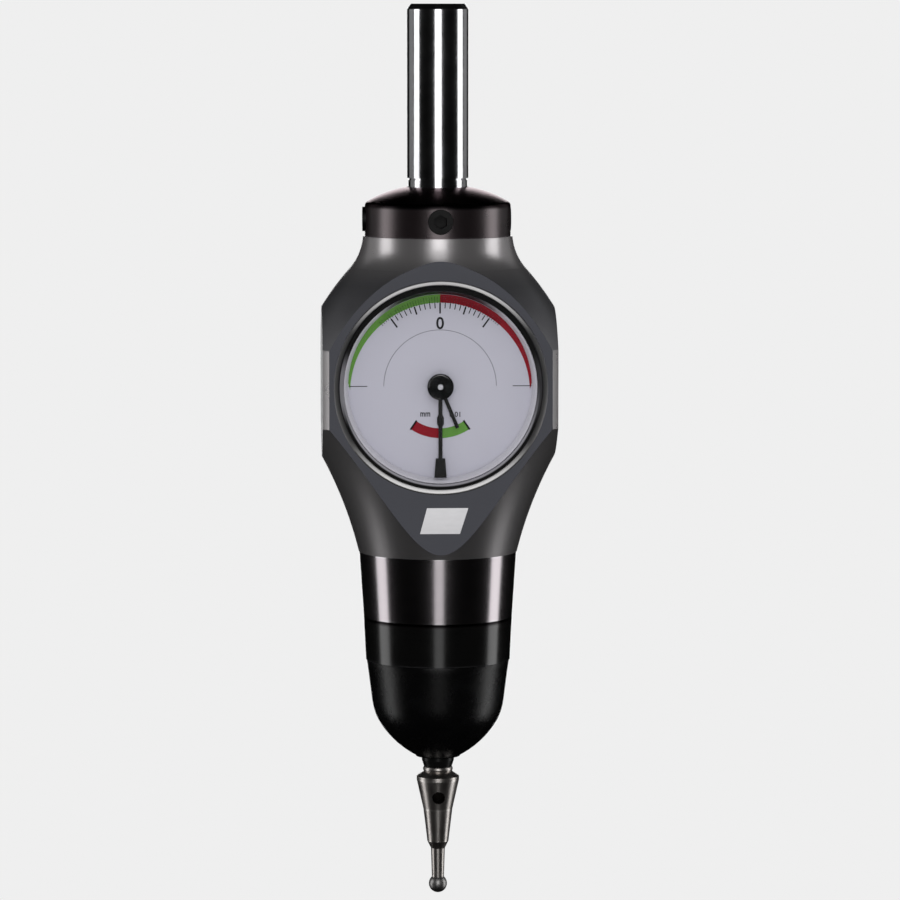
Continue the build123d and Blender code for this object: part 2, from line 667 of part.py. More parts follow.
def probe_insert():
    """Turned steel insert with a rounded lip, screwed on the stem, and a blind hole for a tommy bar."""
    z = insert_levels()
    barrel, cone, taper = INSERT_DIA / 2, INSERT_CONE_DIA / 2, INSERT_TAPER_DIA / 2
    lip_top, lip_foot = (PROBE_COLLAR_END_R, z[0]), (PROBE_COLLAR_END_R, z[0] - INSERT_LIP)
    below = Polyline(
        lip_foot,
        (barrel, z[1]),
        (barrel, z[2]),
        (cone, z[3]),
        (taper, z[4]),
        (INSERT_NECK_DIA / 2, z[5]),
        (STYLUS_END_DIA / 2, z[6]),
        (0, z[6]),
        (0, z[0]),
        lip_top,
    )
    body = turned(RadiusArc(lip_top, lip_foot, INSERT_LIP_RADIUS), below)
    body -= rod(STEM_DIA / 2, Z_STEM_END, Z_INSERT)
    body -= disc(TOMMY_HOLE_DIA / 2, -INSERT_DIA, TOMMY_HOLE_PAST_AXIS, 0, Z_INSERT - TOMMY_HOLE_DROP)
    return body - Pos(0, 0, ball_height()) * Sphere(BALL_DIA / 2)


def probe_ball():
    """Measuring ball."""
    return Pos(0, 0, ball_height()) * Sphere(BALL_DIA / 2)


def crystal():
    """Clear window with a bevelled front edge."""
    body = disc(CRYSTAL_R, Y_CRYSTAL, Y_SPACER)
    return chamfer(body.edges().group_by(Axis.Y)[0], CRYSTAL_BEVEL)


def crystal_seal():
    """Black ring round the window."""
    return ring(WINDOW_R, CRYSTAL_R, Y_CRYSTAL, Y_SPACER)


def spacer_ring():
    """Pale ring between the window and the dial."""
    return ring(WINDOW_R - RING_CLEARANCE, SPACER_BORE_R, Y_SPACER, Y_DIAL)


def dial_plate():
    """Printed dial, with a hole for the pointers' pipe."""
    return ring(WINDOW_R - RING_CLEARANCE, PIPE_DIA / 2 + 3 * RUN_CLEARANCE, Y_DIAL, Y_STEP)


def front_plate():
    """Plate on the dial side of the movement."""
    body = disc(PLATE_R, Y_PLATE, Y_PLATE_BACK)
    body -= disc(ARBOR_DIA / 2 + RUN_CLEARANCE, Y_PLATE, Y_PLATE_BACK)
    body -= disc(PIVOT_DIA / 2 + RUN_CLEARANCE, Y_PLATE, Y_PLATE_BACK, DRIVE_X, DRIVE_Z)
    body -= disc(STUD_DIA / 2, Y_PLATE, Y_PLATE_BACK, COUNTER_X, COUNTER_Z)
    return drilled(body, PLATE_SCREW_DIA / 2 + RUN_CLEARANCE, Y_PLATE, Y_PLATE_BACK)


def rear_plate():
    """Plate on the plunger's side of the movement."""
    body = disc(PLATE_R, Y_REAR_PLATE, Y_REAR_BACK)
    body -= disc(PIVOT_DIA / 2 + RUN_CLEARANCE, Y_REAR_PLATE, Y_REAR_BACK)
    body -= disc(ARBOR_DIA / 2 + RUN_CLEARANCE, Y_REAR_PLATE, Y_REAR_BACK, DRIVE_X, DRIVE_Z)
    return drilled(body, PLATE_SCREW_DIA / 2 + RUN_CLEARANCE, Y_REAR_PLATE, Y_REAR_BACK)


def pillars():
    """Four tubes that space the two plates."""
    bore = PLATE_SCREW_DIA / 2 + RUN_CLEARANCE
    return on_pillars(lambda x, z: ring(PILLAR_DIA / 2, bore, Y_PLATE_BACK, Y_REAR_PLATE, x, z))


def support_posts():
    """Four posts from the cavity's floor to the rear plate, bored for the long screws."""
    bore = PLATE_SCREW_DIA / 2 + RUN_CLEARANCE
    depth = Y_REAR_BACK + PLATE_SCREW_GRIP + RUN_CLEARANCE

    def post(x, z):
        return disc(POST_DIA / 2, Y_REAR_BACK, Y_CAVITY, x, z) - disc(bore, Y_REAR_BACK, depth, x, z)

    return on_pillars(post)


def plate_screws():
    """Four long screws through the plates and pillars into the posts."""
    end = Y_REAR_BACK + PLATE_SCREW_GRIP

    def screw(x, z):
        head = disc(PLATE_SCREW_HEAD_DIA / 2, Y_PLATE - PLATE_SCREW_HEAD, Y_PLATE, x, z)
        return head + disc(PLATE_SCREW_DIA / 2, Y_PLATE, end, x, z)

    return on_pillars(screw)


def rack_pinion():
    """Arbor through both plates with the pinion that the rack turns."""
    x, z = DRIVE_X, DRIVE_Z
    body = disc(PIVOT_DIA / 2, Y_PLATE + LAYER_GAP, Y_PLATE_BACK, x, z)
    body += disc(ARBOR_DIA / 2, Y_PLATE_BACK + LAYER_GAP / 2, RACK_WIDTH / 2, x, z)
    body += disc(PIVOT_DIA / 2, Y_PLATE_BACK, Y_PLATE_BACK + LAYER_GAP, x, z)
    return body + gear(RACK_PINION_TEETH, RACK_MODULE, x, z, -RACK_WIDTH / 2, RACK_WIDTH, 0)


def drive_wheel():
    """Large wheel on the rack pinion's arbor."""
    wheel = gear(DRIVE_TEETH, DRIVE_MODULE, DRIVE_X, DRIVE_Z, Y_DRIVE, GEAR_WIDTH, DRIVE_ANGLE)
    wheel += disc(1.2 * ARBOR_DIA, Y_DRIVE + GEAR_WIDTH, Y_DRIVE + 2 * GEAR_WIDTH, DRIVE_X, DRIVE_Z)
    return wheel - disc(ARBOR_DIA / 2, Y_DRIVE, Y_DRIVE + 2 * GEAR_WIDTH, DRIVE_X, DRIVE_Z)


def centre_arbor():
    """Arbor of the long pointer with its small pinion."""
    body = disc(ARBOR_DIA / 2, Y_CAP, Y_REAR_PLATE - LAYER_GAP)
    body += disc(PIVOT_DIA / 2, Y_REAR_PLATE - LAYER_GAP, Y_REAR_BACK - LAYER_GAP)
    gap = facing_gap(CENTRE_TEETH, DRIVE_ANGLE + 180)
    return body + gear(CENTRE_TEETH, DRIVE_MODULE, 0, Z_DIAL, Y_CENTRE_PINION, PINION_WIDTH, gap)


def cannon_pinion():
    """Tube pressed on the centre arbor, toothed at its foot; it carries the long pointer."""
    body = disc(CANNON_DIA / 2, Y_LONG, Y_CANNON)
    body += gear(CANNON_TEETH, CANNON_MODULE, 0, Z_DIAL, Y_CANNON, GEAR_WIDTH, COUNTER_ANGLE)
    return body - disc(ARBOR_DIA / 2, Y_LONG, Y_CANNON + GEAR_WIDTH)


def counter_stud():
    """Pin in the front plate that the counter wheel turns on."""
    return disc(STUD_DIA / 2, Y_HOUR, Y_PLATE_BACK, COUNTER_X, COUNTER_Z)


def counter_wheel():
    """Wheel and pinion in one, between the cannon pinion and the hour wheel."""
    back = facing_gap(COUNTER_WHEEL_TEETH, COUNTER_ANGLE + 180)
    body = gear(COUNTER_WHEEL_TEETH, CANNON_MODULE, COUNTER_X, COUNTER_Z, Y_CANNON, GEAR_WIDTH, back)
    pinion_width = Y_CANNON - Y_HOUR
    pinion = gear(
        COUNTER_PINION_TEETH, HOUR_MODULE, COUNTER_X, COUNTER_Z, Y_HOUR, pinion_width, COUNTER_ANGLE + 180
    )
    bore = disc(STUD_DIA / 2 + PIPE_CLEARANCE, Y_HOUR, Y_CANNON + GEAR_WIDTH, COUNTER_X, COUNTER_Z)
    return body + pinion - bore


def hour_wheel():
    """Slow wheel on a pipe round the cannon pinion; the pipe carries the short pointer."""
    gap = facing_gap(HOUR_TEETH, COUNTER_ANGLE)
    body = disc(PIPE_DIA / 2, Y_SHORT, Y_HOUR)
    body += gear(HOUR_TEETH, HOUR_MODULE, 0, Z_DIAL, Y_HOUR, GEAR_WIDTH, gap)
    return body - disc(CANNON_DIA / 2 + PIPE_CLEARANCE, Y_SHORT, Y_HOUR + GEAR_WIDTH)


def hairspring():
    """Flat spiral that takes up the play of the gear train, with its stud."""
    start = COLLET_DIA / 2 + HAIRSPRING_PITCH / 2
    end = start + HAIRSPRING_TURNS * HAIRSPRING_PITCH
    steps = 12 * HAIRSPRING_TURNS
    points = [
        polar(start + (end - start) * k / steps, 360.0 * HAIRSPRING_TURNS * k / steps, 0, Z_DIAL)
        for k in range(steps + 1)
    ]
    inner, outer = Spline(*points), offset_points(points, HAIRSPRING_THICKNESS)
    outer_curve = Spline(*outer)
    face = make_face(
        Curve() + [inner, outer_curve, Line(points[0], outer[0]), Line(points[-1], outer[-1])]
    )
    blade = Pos(0, Y_HAIRSPRING + HAIRSPRING_WIDTH, 0) * extrude(Plane.XZ * face, HAIRSPRING_WIDTH)
    stud = disc(STUD_DIA / 2, Y_HAIRSPRING, Y_REAR_PLATE, end + STUD_DIA / 3)
    return blade + stud


def offset_points(points, distance):
    """Points moved straight out from the dial's centre."""
    out = []
    for x, z in points:
        away = math.hypot(x, z - Z_DIAL)
        out.append((x * (away + distance) / away, Z_DIAL + (z - Z_DIAL) * (away + distance) / away))
    return out


def collet():
    """Small brass collet on the centre arbor that the hairspring starts from."""
    return ring(COLLET_DIA / 2, ARBOR_DIA / 2, Y_HAIRSPRING, Y_HAIRSPRING + HAIRSPRING_WIDTH)


def pointer(outline, eye_dia, bore_dia, y_front, turn):
    """Flat pointer with a round eye, drawn straight down and turned about the dial's centre."""
    y_back = y_front + POINTER_THICKNESS
    left = [(-w / 2, Z_DIAL - reach) for reach, w in outline]
    right = [(w / 2, Z_DIAL - reach) for reach, w in reversed(outline)]
    body = slab(left + right, y_front, y_back)
    body += disc(eye_dia / 2, y_front, y_back)
    body -= disc(bore_dia / 2, y_front, y_back)
    return Pos(0, 0, Z_DIAL) * Rot(0, turn, 0) * Pos(0, 0, -Z_DIAL) * body


def long_pointer():
    """Pointer that turns once for each millimetre, with a broad black tip."""
    outline = [
        (0, LONG_POINTER_WIDTH),
        (LONG_WAIST_START - 0.5, LONG_POINTER_WIDTH),
        (LONG_WAIST_START, LONG_WAIST_WIDTH),
        (LONG_WAIST_START + 1.0, LONG_WAIST_WIDTH),
        (LONG_WAIST_START + 1.5, LONG_POINTER_WIDTH),
        (LONG_TIP_START, LONG_POINTER_WIDTH),
        (LONG_TIP_START, 0.75 * LONG_TIP_WIDTH),
        (SPACER_BORE_R - LONG_POINTER_GAP, LONG_TIP_WIDTH),
    ]
    return pointer(outline, LONG_EYE_DIA, CANNON_DIA, Y_LONG, 0)


def short_pointer():
    """Pointer that counts the turns of the long one."""
    outline = [(0, SHORT_POINTER_WIDTH), (SHORT_POINTER_REACH, SHORT_POINTER_WIDTH)]
    return pointer(outline, SHORT_EYE_DIA, PIPE_DIA, Y_SHORT, -SHORT_REST_ANGLE)


def hub_cap():
    """Black cap over the pointers' eyes, with the arbor's end showing in its centre."""
    body = disc(HUB_CAP_DIA / 2, Y_CAP, Y_LONG) - disc(ARBOR_DIA / 2, Y_CAP, Y_LONG)
    return fillet(body.edges().group_by(Axis.Y)[0].sort_by(Edge.length)[-1:], HUB_CAP_HEIGHT / 2)


PIECES = {
    "shank": shank,
    "collar": collar,
    "adjusting_screws": adjusting_screws,
    "housing_body": housing_body,
    "sleeve": sleeve,
    "clamp_ring": clamp_ring,
    "seat_ring": seat_ring,
    "boot": boot,
    "upper_bush": upper_bush,
    "lower_bush": lower_bush,
    "plunger": plunger,
    "spring_collar": spring_collar,
    "return_spring": return_spring,
    "upper_yoke": upper_yoke,
    "joint_cross": joint_cross,
    "lower_yoke": lower_yoke,
    "probe_collar": probe_collar,
    "probe_insert": probe_insert,
    "probe_ball": probe_ball,
    "crystal": crystal,
    "crystal_seal": crystal_seal,
    "spacer_ring": spacer_ring,
    "dial_plate": dial_plate,
    "front_plate": front_plate,
    "rear_plate": rear_plate,
    "pillars": pillars,
    "support_posts": support_posts,
    "plate_screws": plate_screws,
    "rack_pinion": rack_pinion,
    "drive_wheel": drive_wheel,
    "centre_arbor": centre_arbor,
    "cannon_pinion": cannon_pinion,
    "counter_stud": counter_stud,
    "counter_wheel": counter_wheel,
    "hour_wheel": hour_wheel,
    "hairspring": hairspring,
    "collet": collet,
    "long_pointer": long_pointer,
    "short_pointer": short_pointer,
    "hub_cap": hub_cap,
}


os.makedirs("parts", exist_ok=True)
for name, make in PIECES.items():
    export_step(make(), os.path.join("parts", name + ".step"))
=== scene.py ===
"""Looks of the dial edge finder: finishes for its pieces, the printed dial, the rubber boot and the studio."""

import logging
import math
from contextlib import contextmanager
from dataclasses import dataclass
from enum import Enum
from typing import Callable, Iterator

import bpy
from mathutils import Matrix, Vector


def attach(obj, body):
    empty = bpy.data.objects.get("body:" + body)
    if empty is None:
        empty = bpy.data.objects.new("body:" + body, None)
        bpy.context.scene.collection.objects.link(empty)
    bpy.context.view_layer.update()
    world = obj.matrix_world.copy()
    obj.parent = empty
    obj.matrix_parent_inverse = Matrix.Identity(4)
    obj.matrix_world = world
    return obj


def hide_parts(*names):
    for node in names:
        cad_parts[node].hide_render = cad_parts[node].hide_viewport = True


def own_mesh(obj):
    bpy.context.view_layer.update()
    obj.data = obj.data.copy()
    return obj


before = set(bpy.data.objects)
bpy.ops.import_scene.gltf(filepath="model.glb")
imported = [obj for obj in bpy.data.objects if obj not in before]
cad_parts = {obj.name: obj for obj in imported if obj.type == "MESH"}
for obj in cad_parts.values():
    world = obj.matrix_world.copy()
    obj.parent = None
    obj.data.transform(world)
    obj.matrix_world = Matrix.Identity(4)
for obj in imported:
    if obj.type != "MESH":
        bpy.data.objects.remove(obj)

LOG = logging.getLogger("edge_finder")
MM = 0.001
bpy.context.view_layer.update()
DIAL_Z = -33.3
Rgb = Point = Noise = tuple[float, float, float]
Pair = tuple[float, float]
Piece = bpy.types.Object
ORIGIN = (0.0, 0.0, 0.0)
WHITE = (1.0, 1.0, 1.0, 1.0)
TOOL_RINGS = (1.0, 3.0, 0.7)


class Axis(Enum):
    """Axis that a piece was turned about."""

    TOOL = "tool"
    DIAL = "dial"


class Value:
    """A shader socket that Python's operators work on."""

    def __init__(self, graph: "Graph", socket: bpy.types.NodeSocket) -> None:
        """Wrap a socket of a graph's node."""
        self.graph = graph
        self.socket = socket

    def maths(self, operation: str, other: "Value | float | None" = None, swap: bool = False) -> "Value":
        """Add one Math node; swap puts the other operand first."""
        operands = [self] if other is None else [other, self] if swap else [self, other]
        return self.graph.value("ShaderNodeMath", {"operation": operation}, dict(enumerate(operands)))

    def __add__(self, other: "Value | float") -> "Value":
        """Sum."""
        return self.maths("ADD", other)

    __radd__ = __add__

    def __mul__(self, other: "Value | float") -> "Value":
        """Product."""
        return self.maths("MULTIPLY", other)

    __rmul__ = __mul__

    def __sub__(self, other: "Value | float") -> "Value":
        """Difference."""
        return self.maths("SUBTRACT", other)

    def __rsub__(self, other: float) -> "Value":
        """Difference with this value taken away."""
        return self.maths("SUBTRACT", other, swap=True)

    def __truediv__(self, other: "Value | float") -> "Value":
        """Quotient."""
        return self.maths("DIVIDE", other)

    def __rtruediv__(self, other: float) -> "Value":
        """Quotient with this value as divisor."""
        return self.maths("DIVIDE", other, swap=True)

    def __gt__(self, other: "Value | float") -> "Value":
        """1 where this value is larger."""
        return self.maths("GREATER_THAN", other)

    def __lt__(self, other: "Value | float") -> "Value":
        """1 where this value is smaller."""
        return self.maths("LESS_THAN", other)

    def __abs__(self) -> "Value":
        """Size without sign."""
        return self.maths("ABSOLUTE")

    def slant(self, other: "Value") -> "Value":
        """Length of the slant between two lengths at right angles."""
        return (self * self + other * other).maths("SQRT")

    def least(self, other: "Value | float") -> "Value":
        """The smaller of two values."""
        return self.maths("MINIMUM", other)

    def most(self, other: "Value | float") -> "Value":
        """The larger of two values."""
        return self.maths("MAXIMUM", other)

    def rise(self, low: float, high: float) -> "Value":
        """Smooth step from 0 at the low value to 1 at the high one."""
        ends = {0: self, 1: low, 2: high, 3: 0.0, 4: 1.0}
        return self.graph.value("ShaderNodeMapRange", {"interpolation_type": "SMOOTHSTEP"}, ends)


class Graph:
    """Node tree of one material or world."""

    def __init__(self, tree: bpy.types.NodeTree) -> None:
        """Start from an empty tree."""
        tree.nodes.clear()
        self.tree = tree

    def node(self, kind: str, settings: dict | None = None, values: dict | None = None) -> bpy.types.Node:
        """Add a node.

        Args:
            kind: The node's type.
            settings: Its settings.
            values: A number, colour or link for each of its sockets.

        Returns:
            The node.
        """
        made = self.tree.nodes.new(kind)
        for name, setting in (settings or {}).items():
            setattr(made, name, setting)
        for key, given in (values or {}).items():
            source = given.socket if isinstance(given, Value) else given
            if isinstance(source, bpy.types.NodeSocket):
                self.tree.links.new(source, made.inputs[key])
            else:
                made.inputs[key].default_value = source
        return made

    def value(self, kind: str, settings: dict | None = None, values: dict | None = None, output: int = 0) -> Value:
        """Add a node and take one of its outputs."""
        return Value(self, self.node(kind, settings, values).outputs[output])

    def place(self) -> tuple[Value, Value, Value, Value]:
        """Place on the piece.

        Returns:
            Millimetres along X, Y and Z, and the three as a vector.
        """
        where = self.node("ShaderNodeTexCoord").outputs["Object"]
        parts = self.node("ShaderNodeSeparateXYZ", {}, {0: where})
        x, y, z = (Value(self, parts.outputs[i]) / MM for i in range(3))
        return x, y, z, self.vector(x, y, z)

    def vector(self, x: "Value | float", y: "Value | float", z: "Value | float") -> Value:
        """Join three values."""
        return self.value("ShaderNodeCombineXYZ", {}, {0: x, 1: y, 2: z})

    def noise(self, where: Value, pattern: Noise) -> Value:
        """Cloudy pattern from 0 to 1, mostly near one half, of a given scale, detail and roughness."""
        inputs = dict(zip(("Scale", "Detail", "Roughness"), pattern))
        return self.value("ShaderNodeTexNoise", {}, {"Vector": where, **inputs})

    def blend(self, low: "Value | Rgb", high: "Value | Rgb", share: Value) -> Value:
        """Colour between two others."""
        ends = [(*c, 1.0) if isinstance(c, tuple) else c for c in (low, high)]
        return self.value("ShaderNodeMix", {"data_type": "RGBA"}, {0: share, 6: ends[0], 7: ends[1]}, output=2)

    def varied(self, colour: Rgb, contrast: float, pattern: Value) -> Value:
        """Colour that a pattern makes darker and lighter by up to a share of it."""
        return self.blend(shade(colour, 1 - contrast), shade(colour, 1 + contrast), pattern)

    def rays(self, kind: str) -> Value:
        """1 for one kind of ray."""
        return Value(self, self.node("ShaderNodeLightPath").outputs[f"Is {kind} Ray"])

    def show(self, shader: bpy.types.Node, output: str = "ShaderNodeOutputMaterial") -> None:
        """Send a shader to the output."""
        self.node(output, {}, {"Surface": shader.outputs[0]})

    def in_sight(self) -> Value:
        """1 for the rays of the camera, of gloss and of glass."""
        camera, gloss, glass = map(self.rays, ("Camera", "Glossy", "Transmission"))
        return camera.most(gloss).most(glass)


def shade(colour: Rgb, factor: float) -> Rgb:
    """Colour made lighter or darker."""
    return tuple(min(1.0, c * factor) for c in colour)


def new_material(title: str) -> tuple[bpy.types.Material, Graph]:
    """Start a material.

    Args:
        title: Its name.

    Returns:
        The material and its empty node tree.
    """
    made = bpy.data.materials.new(title)
    made.use_nodes = True
    return made, Graph(made.node_tree)


def new_object(name: str, data: bpy.types.ID) -> Piece:
    """Put data into the scene.

    Args:
        name: The object's name.
        data: Its camera, lamp or curve.

    Returns:
        The object.
    """
    made = bpy.data.objects.new(name, data)
    bpy.context.scene.collection.objects.link(made)
    return made


@dataclass
class Look:
    """What varies over one surface, as sockets or numbers."""

    colour: "Value | Rgb"
    rough: "Value | float"
    height: Value
    depth: float
    metallic: "Value | float | None" = None
    alpha: "Value | float" = 1.0


@dataclass(frozen=True)
class Finish:
    """A finish; its subclasses say how it varies. Lengths are in millimetres and colours linear."""

    name: str
    colour: Rgb
    rough: float
    metallic: float = 0.0
    specular: float = 0.5
    ior: float = 1.5
    tint: Rgb = (1.0, 1.0, 1.0)

    def look(self, graph: Graph) -> Look:
        """How the finish varies over the surface."""
        raise NotImplementedError

    def material(self) -> bpy.types.Material:
        """Build the material once and keep it.

        Returns:
            The Blender material.
        """
        title = f"{self.name}_finish"
        kept = bpy.data.materials.get(title)
        if kept is not None:
            return kept
        made, graph = new_material(title)
        look = self.look(graph)
        bump = {"Height": look.height, "Strength": 1.0, "Distance": look.depth * MM}
        values = {
            "Base Color": (*look.colour, 1.0) if isinstance(look.colour, tuple) else look.colour,
            "Roughness": look.rough,
            "Metallic": self.metallic if look.metallic is None else look.metallic,
            "Specular IOR Level": self.specular,
            "IOR": self.ior,
            "Specular Tint": (*self.tint, 1.0),
            "Alpha": look.alpha,
            "Normal": graph.node("ShaderNodeBump", {}, bump).outputs["Normal"],
        }
        graph.show(graph.node("ShaderNodeBsdfPrincipled", {}, values))
        return made


@dataclass(frozen=True)
class Turned(Finish):
    """Metal or lacquer over turned metal: fine tool rings, handling marks and worn edges."""

    axis: Axis = Axis.TOOL
    pitch: float = 0.12
    ring_depth: float = 0.002
    contrast: float = 0.12
    smear: float = 0.06
    marks: Noise = (0.35, 5.0, 0.6)
    specks: Noise = (9.0, 1.0, 0.5)
    edges: tuple[Pair, ...] = ()
    edge_reach: Pair = (0.03, 0.28)
    worn: Rgb = (0.5, 0.5, 0.52)
    wear: float = 0.0
    crown: float | None = None
    crown_blur: float = 0.3
    # Dark colour painted on the crown as shade.
    crown_shade: Rgb = (0.006, 0.005, 0.0055)
    hole: Pair | None = None
    hole_end: float = 1.3
    # Dark colour painted into the hole as shade.
    hole_shade: Rgb = (0.004, 0.0035, 0.003)

    def look(self, graph: Graph) -> Look:
        """Rings across the turning axis, handling marks, lighter edges, a crown darkened as painted shade and
        painted shade in a hole.

        Args:
            graph: The material's node tree.

        Returns:
            What varies.
        """
        x, y, z, where = graph.place()
        along, across = (z, y) if self.axis is Axis.TOOL else (y, z - DIAL_Z)
        radius = x.slant(across)
        rings = graph.noise(graph.vector(along / self.pitch, radius / self.pitch, 0.0), TOOL_RINGS)
        marks = graph.noise(where, self.marks)
        mix = rings * 0.55 + marks * 0.3 + graph.noise(where, self.specks) * 0.15
        colour = graph.varied(self.colour, self.contrast, mix)
        if self.edges:
            nearest, *gaps = [(radius - r).slant(along - h) for r, h in self.edges]
            for gap in gaps:
                nearest = nearest.least(gap)
            patchy = marks.rise(0.35, 0.65) * 0.6 + 0.4
            colour = graph.blend(colour, self.worn, (1.0 - nearest.rise(*self.edge_reach)) * patchy * self.wear)
        rough = self.rough + (marks - 0.5) * (4 * self.smear) + (rings - 0.5) * self.smear
        metallic = None
        # Painted shade: above the crown height the surface turns dark metal that hardly reflects the lamps.
        if self.crown is not None:
            metallic = along.rise(self.crown - self.crown_blur, self.crown + self.crown_blur)
            colour = graph.blend(colour, self.crown_shade, metallic)
        # Painted shade: the inside of the blind hole is made dark.
        if self.hole is not None:
            height, bore = self.hole
            in_hole = (x.slant(along - height) < bore) * (y < self.hole_end)
            colour = graph.blend(colour, self.hole_shade, in_hole)
        return Look(colour, rough, rings, self.ring_depth, metallic)


@dataclass(frozen=True)
class Lacquer(Finish):
    """Smooth coat with a faint ripple, fine dust and polishing marks."""

    ripple: float = 0.004
    waves: Noise = (1.2, 2.0, 0.5)
    dust: float = 0.05
    dust_colour: Rgb = (0.09, 0.09, 0.09)
    dust_grain: Noise = (14.0, 4.0, 0.75)
    cloud: float = 0.2
    marks: Noise = (0.5, 4.0, 0.5)

    def look(self, graph: Graph) -> Look:
        """Ripple in the coat and a little dust on it.

        Args:
            graph: The material's node tree.

        Returns:
            What varies.
        """
        x, y, z, where = graph.place()
        dust = graph.noise(where, self.dust_grain).rise(0.62, 0.8)
        marks = graph.noise(graph.vector(x, y, z * 3.0), self.marks)
        coat = graph.blend(self.colour, shade(self.colour, 1.0 + self.cloud), marks)
        colour = graph.blend(coat, self.dust_colour, dust * self.dust)
        rough = self.rough + dust * 0.2 + (marks - 0.5) * 0.06
        return Look(colour, rough, graph.noise(where, self.waves), self.ripple)


@dataclass(frozen=True)
class Rubber(Finish):
    """Moulded rubber: matte, with fine grain and a pale bloom."""

    grain: float = 0.02
    pores: Noise = (7.0, 4.0, 0.7)
    bloom: float = 0.3
    patches: Noise = (0.3, 3.0, 0.5)

    def look(self, graph: Graph) -> Look:
        """Grain all over and bloom in patches.

        Args:
            graph: The material's node tree.

        Returns:
            What varies.
        """
        *_, where = graph.place()
        grain, patches = graph.noise(where, self.pores), graph.noise(where, self.patches)
        bloom = patches.rise(0.45, 0.75) * grain.rise(0.3, 0.8)
        colour = graph.blend(shade(self.colour, 0.8), shade(self.colour, 1.0 + 3 * self.bloom), bloom)
        return Look(colour, self.rough + (patches - 0.5) * 0.15, grain, self.grain)


@dataclass(frozen=True)
class Seal(Rubber):
    """Rubber ring with a painted highlight along the inner lip at the lower edge of the window."""

    lip: float = 15.95
    # Colour of the painted highlight on the lip and of the painted sheen at the sides.
    painted_highlight: Rgb = (0.26, 0.255, 0.28)

    def look(self, graph: Graph) -> Look:
        """Rubber with the painted highlight on the lower lip, and a painted sheen at 3 and 9 o'clock, strongest at
        9.

        Args:
            graph: The material's node tree.

        Returns:
            What varies.
        """
        look = super().look(graph)
        x, _, z, _ = graph.place()
        up = z - DIAL_Z
        radius = x.slant(up)
        # Painted highlight: the inner lip is paler in the lower half of the window.
        lip = (1.0 - radius.rise(self.lip - 0.15, self.lip + 0.1)) * (0.0 - up / radius).rise(-0.1, 0.6)
        # Painted sheen: paler towards 3 and 9 o'clock, most at 9 o'clock.
        painted_side_sheen = (1.0 - abs(up / radius).rise(0.12, 0.4)) * (0.35 - 0.25 * x / radius)
        look.colour = graph.blend(graph.blend(look.colour, self.painted_highlight, painted_side_sheen), self.painted_highlight, lip)
        return look


@dataclass(frozen=True)
class Anodised(Finish):
    """Grey housing: blasted flats, satin turned surfaces, a chamfer round the window painted bright at top and
    bottom and dark at the sides as a painted reflection, and worn edges.
    """

    turned_colour: Rgb = (0.15, 0.15, 0.16)
    turned_rough: float = 0.36
    turned_metal: float = 0.85
    flank: Rgb = (0.155, 0.15, 0.152)
    flank_fade: Pair = (-40.5, -33.0)
    neck: Rgb = (0.37, 0.355, 0.36)
    neck_fade: Pair = (-17.5, -12.0)
    belt_fade: Pair = (22.2, 22.29)
    # Chamfer colour where its painted reflection is brightest, at top and bottom; the sides get a dark copy of it.
    chamfer_glint: Rgb = (0.85, 0.84, 0.84)
    glint_fade: Pair = (0.48, 0.95)
    edge_colour: Rgb = (0.1, 0.1, 0.105)
    edge_width: float = 0.3
    side: float = 19.0
    front: float = 13.2
    skin: float = 0.01
    window: float = 16.3
    chamfer: float = 1.0
    blasting: Noise = (11.0, 3.0, 0.8)
    marks: Noise = (0.16, 5.0, 0.6)
    ring_pitch: float = 0.15
    cut_pitch: float = 0.06
    grain_depth: float = 0.008

    def look(self, graph: Graph) -> Look:
        """Masks for flats, chamfer and edges, each with its own grain.

        Args:
            graph: The material's node tree.

        Returns:
            What varies.
        """
        x, y, z, where = graph.place()
        radius, dial_radius = x.slant(y), x.slant(z - DIAL_Z)
        past_side, past_front = abs(x) - self.side, abs(y) - self.front
        on_side = past_side > -self.skin
        flat = on_side.most(past_front > -self.skin)
        grain, marks = graph.noise(where, self.blasting), graph.noise(where, self.marks)
        rings = graph.noise(graph.vector(z / self.ring_pitch, radius / self.ring_pitch, 0.0), TOOL_RINGS)
        cut = graph.noise(graph.vector(dial_radius / self.cut_pitch, y, 0.0), TOOL_RINGS)
        turned = graph.varied(self.turned_colour, 0.12, rings * 0.6 + marks * 0.4)
        turned = graph.blend(self.flank, turned, z.rise(*self.flank_fade))
        colour = graph.blend(turned, graph.varied(self.colour, 0.15, grain * 0.6 + marks * 0.4), flat)
        outer = self.window + self.chamfer
        rim = dial_radius.rise(self.window + 0.15, self.window + 0.35)
        rim = rim * (1.0 - dial_radius.rise(outer - 0.3, outer - 0.1))
        rim = rim * (y < self.chamfer - self.front) * (y > -self.front - 0.1)
        # Painted reflection on the chamfer: bright at top and bottom, dark at the sides, as if it mirrored light
        # from above and below.
        painted_highlight = (abs(z - DIAL_Z) / dial_radius).rise(*self.glint_fade)
        chamfer_glint = graph.blend(shade(self.chamfer_glint, 0.08), self.chamfer_glint, painted_highlight * (cut * 0.3 + 0.85))
        edge = past_side.rise(-self.edge_width, -0.02) * (past_side < -self.skin)
        edge = edge.most(past_front.rise(-self.edge_width, -0.02) * (past_front < -self.skin))
        colour = graph.blend(colour, self.edge_colour, edge * 0.35 * marks.rise(0.3, 0.6))
        colour = graph.blend(colour, chamfer_glint, rim)
        neck = z.rise(*self.neck_fade).most(radius.rise(*self.belt_fade))
        colour = graph.blend(colour, self.neck, neck * (1.0 - flat) * (rings * 0.3 + 0.85))
        rough = flat * (self.rough - self.turned_rough) + self.turned_rough + (marks - 0.5) * 0.05 - neck * 0.08
        rough = (rough - on_side * 0.27) * (1.0 - rim) + rim * (0.3 + cut * 0.1)
        metallic = (flat * (self.metallic - self.turned_metal) + self.turned_metal) * (1.0 - rim)
        return Look(colour, rough, grain * flat + rings * (1.0 - flat) * 0.5, self.grain_depth, metallic)


